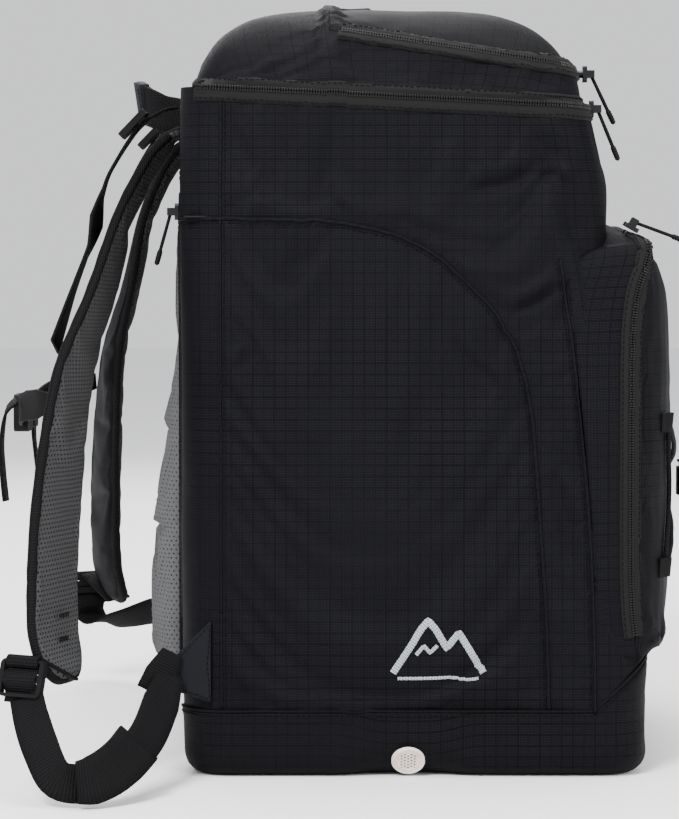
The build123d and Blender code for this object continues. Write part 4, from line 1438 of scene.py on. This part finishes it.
def shoulder_pad(hand, name):
    """A shoulder pad: woven outside, mesh inside, bound along both edges."""
    points = pads[hand]
    half = PAD_SIDES // 2
    pad = loft_object(f"shoulder_pad_{name}_foam", points, ring_uvs(points))
    finish_piece(pad, (cloth, strap_mesh), None, f"shoulder_pad_{name}")
    centres = points.mean(1)
    for polygon in pad.data.polygons:
        c = np.array(polygon.center) / MM
        i = int(np.argmin(np.linalg.norm(centres - c, axis=1)))
        inside = (points[i, 3 * PAD_SIDES // 4] - points[i, PAD_SIDES // 4]) @ (c - centres[i])
        polygon.material_index = 1 if inside > 0 else 0
    modified(pad, "SUBSURF", levels=1, render_levels=1)
    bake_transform(pad)
    outer = [Vector(points[i, 0]) for i in range(2, points.shape[0], 2)]
    inner = [Vector(points[i, half]) for i in range(points.shape[0] - 1, 1, -2)]
    bound = binding(f"pad_binding_{name}", smooth_path(outer + inner, 3), centres, 3.3)
    finish_piece(bound, webbing, None)
    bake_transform(bound)


def binding(name, path, centres, reach):
    """Folded edge tape: a flattened tube hugging a pad's edge."""
    verts, uvs, run, sides = [], [], 0.0, 12
    for i, p in enumerate(path):
        ahead = heading(path, i)
        near = Vector(centres[int(np.argmin(np.linalg.norm(centres - np.array(p), axis=1)))])
        out = p - near
        out = (out - ahead * out.dot(ahead)).normalized()
        side = ahead.cross(out).normalized()
        if i:
            run += (p - path[i - 1]).length
        for k in range(sides):
            a = 2 * math.pi * k / sides
            r = 1.0 + 0.05 * math.sin(run * 1.7)
            verts.append(p - out * 1.4 + out * math.cos(a) * 3.4 * r + side * math.sin(a) * reach * r)
            uvs.append((run, k * 1.6))
    return turned_out(new_object(name, verts, capped_faces(len(path), sides), uvs))


for hand, name in HANDS:
    shoulder_pad(hand, name)


def back_pad():
    """The mesh-faced back pad, piped all round."""
    steps = np.linalg.norm(np.diff(back_pts, axis=1, prepend=back_pts[:, :1]), axis=2)
    flat = np.stack([np.cumsum(steps, axis=1), back_pts[:, :, 2]], axis=2)
    face = grid_object("back_pad_mesh", back_pts[:, ::-1], flat[:, ::-1])
    finish_piece(face, back_mesh, "bag", "back_pad")
    modified(face, "SOLIDIFY", thickness=0.002, offset=-1.0)
    rows, cols = back_pts.shape[:2]
    loop = [Vector(back_pts[i, 0]) for i in range(rows)]
    loop += [Vector(back_pts[-1, j]) for j in range(1, cols)]
    loop += [Vector(back_pts[i, -1]) for i in range(rows - 2, -1, -1)]
    loop += [Vector(back_pts[0, j]) for j in range(cols - 2, -1, -1)]
    loop = [Vector((-155.4, p.y, p.z)) for p in loop]
    finish_piece(tube("back_pad_piping", resampled(loop, 4), 2.0, 8), webbing, "bag")


back_pad()

# ---------------------------------------------------------------- webbing


def ribbon(name, run, hand, thick=1.8, step=3.0):
    """Flat webbing along stations, with rounded selvedges."""
    verts, uvs, length = [], [], 0.0
    stations = stations_along(run, hand, step)
    section = [(-1, 0), (-0.97, 1), (-0.5, 1.0), (0, 1.0), (0.5, 1.0), (0.97, 1), (1, 0)]
    section += [(x, -y) for x, y in reversed(section[1:-1])]
    path = [centre for centre, _, _ in stations]
    for i, (centre, across, width) in enumerate(stations):
        ahead = heading(path, i)
        across = (across - ahead * across.dot(ahead)).normalized()
        normal = ahead.cross(across).normalized()
        if i:
            length += (centre - path[i - 1]).length
        for x, y in section:
            verts.append(centre + across * x * width / 2 + normal * y * thick / 2)
            uvs.append((length, x * width / 2))
    return turned_out(new_object(name, verts, capped_faces(len(stations), len(section)), uvs))


HANG_LEFT = [
    ((-160, -186, 70), (1, 0.1, -0.3), 17),
    ((-165, -203, 54), (1, 0.2, -0.45), 25),
    ((-172, -232, 37), (0.9, 0.2, -0.55), 25),
    ((-183, -258, 26), (0.75, 0.2, -0.7), 25),
    ((-198, -277, 17), (0.4, 0.1, -0.93), 25),
    ((-215, -284, 15.5), (0, 0, -1), 25),
    ((-227, -282, 20), (-0.7, 0.1, -0.7), 25),
    ((-236, -273, 36), (-0.95, 0.3, -0.2), 25),
    ((-243, -261, 52), (-1, 0.5, 0), 25),
    ((-247, -253, 66), (-1, 0.6, 0), 25),
]
HANG_TAIL = [
    ((-212, -289, 17), (-0.2, 0, -1), 27),
    ((-203, -286, 18), (0.1, 0, -1), 31),
    ((-193, -279, 22), (0.4, 0.1, -0.93), 32),
    ((-184, -267, 28), (0.7, 0.2, -0.75), 32),
    ((-177, -251, 35), (0.85, 0.2, -0.6), 32),
]
STUB = [((-159, -185, 84), (1, 0.2, -0.2), 14), ((-166, -187.5, 70), (1, 0.2, -0.3), 22)]
STUB += [((-172, -190, 58), (1, 0.2, -0.3), 22)]
HANG_RIGHT = [
    ((-161, -187, 68), (0, 0.3, 1), 14),
    ((-172, -206, 64), (0, 0.5, 1), 25),
    ((-196, -230, 60), (0, 0.6, 0.8), 25),
    ((-222, -245, 52), (-0.5, 0.6, 0.5), 25),
    ((-240, -253, 49), (-1, 0.5, 0.2), 25),
    ((-250, -257, 55), (-1, 0.55, 0), 25),
    ((-251, -253, 66), (-1, 0.55, 0), 25),
]
LIFTER = [
    ((-160, -78, 443), (0, 1, 0), 10),
    ((-172, -84, 439), (0, 1, 0), 20),
    ((-187, -93, 427), (0, 1, 0), 20),
    ((-203, -104, 401), (-0.05, 1, 0), 20),
    ((-209, -110, 384), (0, 1, 0), 20),
    ((-213, -117, 365), (0.38, 1, 0), 20),
    ((-218, -127, 345), (0, 1, 0), 20),
    ((-226, -140, 320), (0.05, 1, 0), 20),
    ((-237, -160, 282), (0.25, 1, 0), 20),
]

for hand, name, run in ((-1, "left", HANG_LEFT), (1, "right", HANG_RIGHT)):
    lower = ribbon(f"lower_webbing_{name}_ribbed", run, hand)
    finish_piece(lower, webbing, None, f"lower_webbing_{name}")
    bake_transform(lower)
    lifter = ribbon(f"lifter_webbing_{name}_ribbed", LIFTER, hand)
    finish_piece(lifter, webbing, None, f"lifter_webbing_{name}")
    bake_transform(lifter)


finish_piece(ribbon("lower_webbing_left_fold", HANG_TAIL, -1, 4.4), webbing, "strap_left")
for hand, name in HANDS:
    finish_piece(ribbon(f"anchor_stub_{name}", STUB, hand, 2.2), webbing, "bag")


def sewn_plate(name, outline, at, normal_axis, thick, material, body, *replaced, inset=3.0):
    """A flat cloth patch in a plane of constant x or y, with a stitched line inside its edge."""

    def turn(a, b, high):
        return (high, a, b) if normal_axis == "x" else (a, high, b)

    way = 1 if at > 0 else -1
    ring = resampled([Vector((a, b, 0)) for a, b in outline + outline[:1]], 2.5)[:-1]
    centre = sum(ring, Vector()) / len(ring)
    verts, uvs = [], []
    levels = [(1.0, 0.0), (1.0, 0.55), (0.975, 1.0), (0.9, 1.0), (0.6, 1.0), (0.2, 1.0)]
    for shrink, high in levels:
        for p in ring:
            q = centre + (p - centre) * shrink
            sag = 0.35 * noise.noise(Vector((q.x * 0.08, q.y * 0.08, at)))
            verts.append(turn(q.x, q.y, at + way * (thick * high + (sag if high else 0))))
            uvs.append((q.x, q.y))
    count = len(ring)
    faces = grid_faces(len(levels), count, wrap=True)
    faces.append(tuple(range((len(levels) - 1) * count, len(levels) * count)))
    finish_piece(turned_out(new_object(name, verts, faces, uvs)), material, body, *replaced)
    frames = []
    for p in ring + ring[:1]:
        q = p + (centre - p).normalized() * inset
        across = Vector(turn(0.7, 0.7, 0)).normalized()
        frames.append((Vector(turn(q.x, q.y, at + way * thick)), Vector(turn(0, 0, way)), across))
    finish_piece(stitches_on(f"{name}_stitches", frames, 0.0, 0.2), thread, body)


YOKE_Y, YOKE_LOW, YOKE_HIGH = 123.0, corner("yoke_panel", 0, "z"), 442.0
yoke_outline = [(-YOKE_Y, YOKE_LOW), (YOKE_Y, YOKE_LOW), (YOKE_Y, YOKE_HIGH), (-YOKE_Y, YOKE_HIGH)]
sewn_plate("yoke_patch", yoke_outline, BACK - 0.2, "x", 2.6, grip_cloth, "bag", "yoke_panel")

HANDLE = [
    ((-156.5, -56, 436.5), (-0.15, 0, 1), 25),
    ((-163, -54.5, 438.5), (-0.15, 0, 1), 25),
    ((-172.6, -52, 440.6), (-0.15, 0, 1), 25),
    ((-183, -43, 447), (-0.15, 0, 1), 25),
    ((-190, -15, 451), (-0.15, 0, 1), 25),
    ((-190, 15, 451), (-0.15, 0, 1), 25),
    ((-183, 43, 447), (-0.15, 0, 1), 25),
    ((-172.6, 52, 440.6), (-0.15, 0, 1), 25),
    ((-163, 54.5, 438.5), (-0.15, 0, 1), 25),
    ((-156.5, 56, 436.5), (-0.15, 0, 1), 25),
]
handle = ribbon("haul_handle_webbing", HANDLE, -1, 2.6)
finish_piece(handle, webbing, None, "haul_handle")
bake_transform(handle)
GRIP = [
    ((-184, -40, 447.6), (-0.15, 0, 1), 27),
    ((-188, -26, 449.6), (-0.15, 0, 1), 28.5),
    ((-190, -12, 450.8), (-0.15, 0, 1), 28.5),
    ((-190.3, 0, 451), (-0.15, 0, 1), 28.5),
    ((-190, 12, 450.8), (-0.15, 0, 1), 28.5),
    ((-188, 26, 449.6), (-0.15, 0, 1), 28.5),
    ((-184, 40, 447.6), (-0.15, 0, 1), 27),
]
finish_piece(ribbon("haul_grip_wrap", GRIP, -1, 6.4), grip_cloth, "handle", "haul_grip")


def bar_stitches(name, centre, along, across, normal, size, body, rows):
    """A bartack: close rows of satin stitches across a strap's end."""
    centre, along, across, normal = (Vector(v) for v in (centre, along, across, normal))
    for r in range(rows):
        offset = (r / (rows - 1) - 0.5) * size[1]
        ends = [centre + along * offset + across * s * size[0] / 2 for s in (-1, 1)]
        path = resampled(ends, 1.5)
        frames = [(p, normal.normalized(), along.normalized()) for p in path]
        finish_piece(stitches_on(f"{name}_{r}", frames, 0, 0.2, 2.4), thread, body)


for y, end_name in ((-37, "left"), (37, "right")):
    for x, way, face_name in ((-188.6, -1, "out"), (-181.2, 1, "in")):
        along = (-0.048 if y < 0 else 0.048, 1, 0)
        place, across, facing = (x, y, 448), (-0.15, 0, 1), (way, 0, 0)
        name = f"grip_tack_{end_name}_{face_name}"
        bar_stitches(name, place, along, across, facing, (22, 3), "handle", 2)
for hand, name in HANDS:
    for level, y, z in (("high", 214.5, 112), ("low", 216, 97)):
        place, across, facing = (-226.3, hand * y, z), (0.36, -hand, 0), (0.94, hand * 0.34, 0)
        tack = f"pad_tack_{level}_{name}"
        bar_stitches(tack, place, (0, 0, 1), across, facing, (15, 2.4), f"strap_{name}", 4)

STERNUM = [
    ((-238, -166, 246), (0, 0, 1), 12),
    ((-250, -150, 244), (0, 0, 1), 20),
    ((-266, -100, 239), (0, 0, 1), 20),
    ((-272, -41, 233), (0, 0, 1), 20),
]
STERNUM_TAIL = [
    ((-269, -100, 244), (0, 1, 0.3), 20),
    ((-276, -101, 236), (0, 1, 0.3), 20),
    ((-279, -103, 215), (0, 1, 0.2), 20),
    ((-278, -105, 195), (0, 1, 0.3), 20),
    ((-276, -106, 176), (0, 1, 0.3), 20),
]
for hand, name in HANDS:
    run = ribbon(f"sternum_webbing_{name}_run", STERNUM, hand)
    finish_piece(run, webbing, None, f"sternum_webbing_{name}")
    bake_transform(run)
    tail = ribbon(f"sternum_webbing_{name}_tail", STERNUM_TAIL, hand)
    finish_piece(tail, webbing, f"sternum_{name}")
    anchor_low = corner(f"strap_anchor_{name}", 0, "z")
    shape = [(-134, 104), (-158, 80), (-158, anchor_low + 8), (-134, anchor_low)][::-hand]
    anchor = f"strap_anchor_{name}"
    at = hand * (HALF + 0.1)
    sewn_plate(f"{anchor}_patch", shape, at, "y", 2.0, grip_cloth, "bag", anchor, inset=2.4)

# ---------------------------------------------------------------- shock cord


def cover_x(y, z):
    """The cover's front surface at (y, z)."""
    hit, _, _, _ = cover_tree.ray_cast(Vector((400, y, z)), Vector((-1, 0, 0)))
    return hit.x if hit else pocket_front(y, z)


def cord_over(points):
    """Cord points over the cover through (y, z) pairs."""
    flat = smooth_path([(0, y, z) for y, z in points], 4)
    return [Vector((cover_x(p.y, p.z) + 2.0, p.y, p.z)) for p in flat]


CORD_HIGH, CORD_LOW, CORD_OUT = 232.0, 136.0, 150.0
CORD_ENDS = (CORD_OUT, CORD_HIGH), (CORD_OUT, CORD_LOW)
STRANDS = (
    ("upper", (CORD_ENDS[0], (100, 214), (50, 200), (9, 194)), "shock_cord"),
    ("lower", ((9, 174), (50, 166), (100, 152), CORD_ENDS[1])),
    ("side", (CORD_ENDS[0], (147, 216), (142, 198), (139, 184), (142, 168), (147, 152), CORD_ENDS[1])),
)
LOOP_ROUTE = ((159, 0.9), (156, 1.5), (152.5, 3.4), (149, 4.6), (147.6, 3.0), (149, 1.2), (153, 0.9))
for hand, name in HANDS:
    for part_name, route, *replaced in STRANDS:
        strand = tube(f"shock_cord_{name}_{part_name}", cord_over([(hand * y, z) for y, z in route]), 1.75)
        finish_piece(strand, elastic, "pocket_cover", *replaced)
    for level, z in (("high", CORD_HIGH), ("low", CORD_LOW)):
        path = [((cover_x(hand * y, z) + lift, -y, z), (0.1, 0, 1), 13) for y, lift in LOOP_ROUTE]
        loop = ribbon(f"cord_loop_{name}_{level}", path, hand, 1.3, 1.5)
        replaced = ["cord_loops"] if (name, level) == ("left", "high") else []
        finish_piece(loop, webbing, "pocket_cover", *replaced)

# ---------------------------------------------------------------- embroidered peaks


def satin(name, points, width):
    """A satin-stitched line of generic peaks on the left side panel."""
    path = resampled([(x, -HALF - 2, z) for x, z in points], 1.2)
    frames = frames_on(path, body_tree, (0, 0, 1))
    line = strip_on(name, frames, -width / 2, width / 2, body_tree, 0.8, 7)
    finish_piece(line, silver_thread, "bag")


satin("peaks_ridge", [(-15, 70), (3, 98), (8, 104), (13, 98), (20, 86), (28, 96), (44, 70)], 4.6)
satin("peaks_snow", [(0, 82), (5, 88), (9, 83), (14, 88)], 2.6)
satin("peaks_base", [(-12, 66), (41, 66)], 2.2)

# ---------------------------------------------------------------- zip pulls


def zip_pull(name, node, body, lean):
    """A doubled cord round the slider's bar, in a moulded end with grip ribs."""
    low, high = (corner_point / MM for corner_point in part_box(node))
    y = (low.y + high.y) / 2
    near, far = (low.x, high.x) if lean > 0 else (high.x, low.x)
    start, end = Vector((near + 2.2 * lean, y, high.z - 2.2)), Vector((far - lean, y, low.z + 1.2))
    down = (end - start).normalized()
    side = Vector((0, 1, 0))
    out = side.cross(down).normalized()
    length = (end - start).length
    loop = []
    for t in np.linspace(0, 1, 14):
        spread = 1.0 + 0.9 * math.sin(math.pi * min(1, t * 1.5))
        loop.append(start + down * (length - 9) * (1 - t) + side * spread)
    for a in np.linspace(0, math.pi, 9)[1:-1]:
        loop.append(start - down * 1.7 * math.sin(a) + side * math.cos(a))
    for t in np.linspace(0, 1, 14):
        spread = 1.0 + 0.9 * math.sin(math.pi * min(1, (1 - t) * 1.5))
        loop.append(start + down * (length - 9) * t - side * spread)
    finish_piece(tube(f"{name}_cord", loop, 1.1, 8), elastic, body, node)

    def grip(t):
        return 2.8 * math.sqrt(max(1 - (2 * t - 1) ** 6, 0.02)) * (1 + 0.09 * math.sin(t * 38))

    spine = [start + down * (length - 11.5 + 11.0 * t) for t in np.linspace(0, 1, 34)]
    end_piece = tube(f"{name}_grip", spine, grip, 14)
    for vertex in end_piece.data.vertices:
        offset = vertex.co / MM - start
        vertex.co = (vertex.co / MM - out * offset.dot(out) * 0.35) * MM
    finish_piece(end_piece, acetal, body)


for slider_name, lean in (("lid", 1), ("top", 1), ("front", 1), ("boot_left", -1), ("boot_right", -1)):
    if lean > 0:
        low, high = (corner_point / MM for corner_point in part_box(f"{slider_name}_slider"))
        inward = Vector((-0.5, 0, -0.87)) if slider_name == "front" else Vector((-1, 0, 0))
        middle = (low + high) / 2
        reach = 0.5 * abs((high - low).dot(inward))
        heel = [middle + inward * (reach * 0.6 + 5.0 * t) for t in np.linspace(0, 1, 6)]
        foot = tube(f"{slider_name}_slider_heel", heel, 2.6, 4)
        finish_piece(foot, gunmetal, f"{slider_name}_slider_b")
    zip_pull(f"{slider_name}_zip_pull", f"{slider_name}_pull", f"{slider_name}_pull_b", lean)

# ---------------------------------------------------------------- drain eyelets and ladder locks


def flat_frame(node, hand=0):
    """A flat CAD part's centre, its wide, tall and thin directions and half its spans."""
    spots = np.array([v.co for v in nodes[node].data.vertices]) / MM
    if hand:
        spots = spots[spots[:, 1] * hand > 0]
    middle = spots.mean(0)
    axes = np.linalg.svd(spots - middle, full_matrices=False)[2]
    spans = (spots - middle) @ axes.T
    centre = middle + (spans.max(0) + spans.min(0)) / 2 @ axes
    return centre, axes, (spans.max(0) - spans.min(0)) / 2


def eyelet_trim(name, hand):
    """Two moulded rings on a drain eyelet's tilted face, and painted shade behind its holes: a dark disc
    standing in for the shade inside them.
    """
    sides = 32
    centre, (wide, tall, thin), half = flat_frame("drain_eyelets", hand)
    thin = thin if thin[1] * hand > 0 else -thin
    face = centre + thin * half[2]
    turns = np.linspace(0, 2 * math.pi, sides + 1)
    ways = [wide * math.cos(a) + tall * math.sin(a) for a in turns]
    for ring_name, radius, thick in (("rim", 10.2, 0.75), ("inner_ring", 7.7, 0.45)):
        ring = [face + radius * way - thin * 0.2 for way in ways]
        finish_piece(tube(f"eyelet_{ring_name}_{name}", ring, thick, 8), beige, "bag")
    # painted shade: a dark disc just behind the eyelet's holes, so that they read as shaded
    circle = [face + 6.9 * way for way in ways[:-1]]
    verts = [p - thin * deep for deep in (0.7, 1.1) for p in circle]
    unwoven = [(0, 0)] * len(verts)
    disc = new_object(f"eyelet_painted_shade_{name}", verts, capped_faces(2, sides), unwoven, smooth=False)
    finish_piece(turned_out(disc), teeth, "bag")


def lock_wrap(name, hand):
    """Webbing through a ladder lock: the strap's end over the middle bar, and the pad's tab round
    the top bar. Its points are already on their own side, so nothing is mirrored."""
    centre, (wide, tall, thin), half = flat_frame(f"ladder_lock_{name}")
    tall = tall if tall[2] > 0 else -tall
    thin = thin if thin[1] * hand > 0 else -thin

    def wound(piece, points, width):
        run = [(tuple(p), tuple(wide), width) for p in points]
        finish_piece(ribbon(f"lock_{piece}_{name}", run, -1), webbing, f"strap_{name}")

    def through(route):
        return [centre + tall * half[1] * a + thin * b for a, b in route]

    low = [(-1.25, -2.6), (-0.8, -2.8), (-0.42, 0.4), (-0.12, 3.3), (0.12, 3.3), (0.42, 0.4), (0.62, -2.6)]
    wound("wrap", through(low), 25)
    high = [(0.3, -2.0), (0.62, -2.8), (0.86, -3.2), (1.14, -1.0), (1.12, 2.4), (0.86, 3.2), (0.6, 1.2)]
    tab = through(high)
    wound("tab", tab, 24)
    pad_end = np.array(PAD_RUN[-1][0]) * (1, -hand, 1)
    wound("link", [tab[3], (tab[3] + pad_end) / 2, pad_end], 22)


for hand, name in HANDS:
    eyelet_trim(name, hand)
    lock_wrap(name, hand)

# ---------------------------------------------------------------- hardware keeps its CAD shape

FINISHES = {"slider": gunmetal, "pull": acetal, "lock": acetal, "buckle": acetal, "eyelets": beige}
FINISHES |= {"board": board, "button": acetal}
for node_name, obj in nodes.items():
    for word, finish in FINISHES.items():
        if word in node_name:
            obj.data.materials.clear()
            obj.data.materials.append(finish)

# ---------------------------------------------------------------- floor, light and camera

floor_corners = [(9000 * x, 9000 * y, 0) for x, y in ((-1, -1), (1, -1), (1, 1), (-1, 1))]
floor = new_object("floor", floor_corners, [(0, 1, 2, 3)])
floor.data.materials.append(base_material("paper", (0.9, 0.9, 0.9), 0.9, 0.1)[0])

world = bpy.data.worlds.new("studio")
bpy.context.scene.world = world
world.use_nodes = True
world.node_tree.nodes["Background"].inputs[0].default_value = (0.96, 0.97, 1.0, 1)
world.node_tree.nodes["Background"].inputs[1].default_value = 1.05


def softbox(name, place, aim, size, power):
    """A square area light at a place, aimed at a point, all in metres."""
    light = bpy.data.lights.new(name, "AREA")
    light.size = size
    light.energy = power
    obj = bpy.data.objects.new(name, light)
    obj.location = place
    obj.rotation_euler = (Vector(aim) - Vector(place)).to_track_quat("-Z", "Y").to_euler()
    bpy.context.scene.collection.objects.link(obj)


softbox("key", (-0.9, -1.9, 2.0), (0, 0, 0.25), 0.8, 125)
softbox("fill", (1.8, -1.5, 1.1), (0, 0, 0.25), 1.6, 40)
softbox("top", (0.1, 0.1, 2.3), (0, 0, 0.3), 1.6, 60)
softbox("rear", (-0.4, 2.0, 1.6), (0, 0, 0.3), 1.5, 40)

lens = bpy.data.cameras.new("camera")
lens.sensor_width = 36.0
lens.lens = 126.5
camera = bpy.data.objects.new("camera", lens)
camera.location = (-0.05, -2.05, 0.339)
camera.rotation_euler = (math.radians(90 - 2.97), 0, 0)
bpy.context.scene.collection.objects.link(camera)
bpy.context.scene.camera = camera
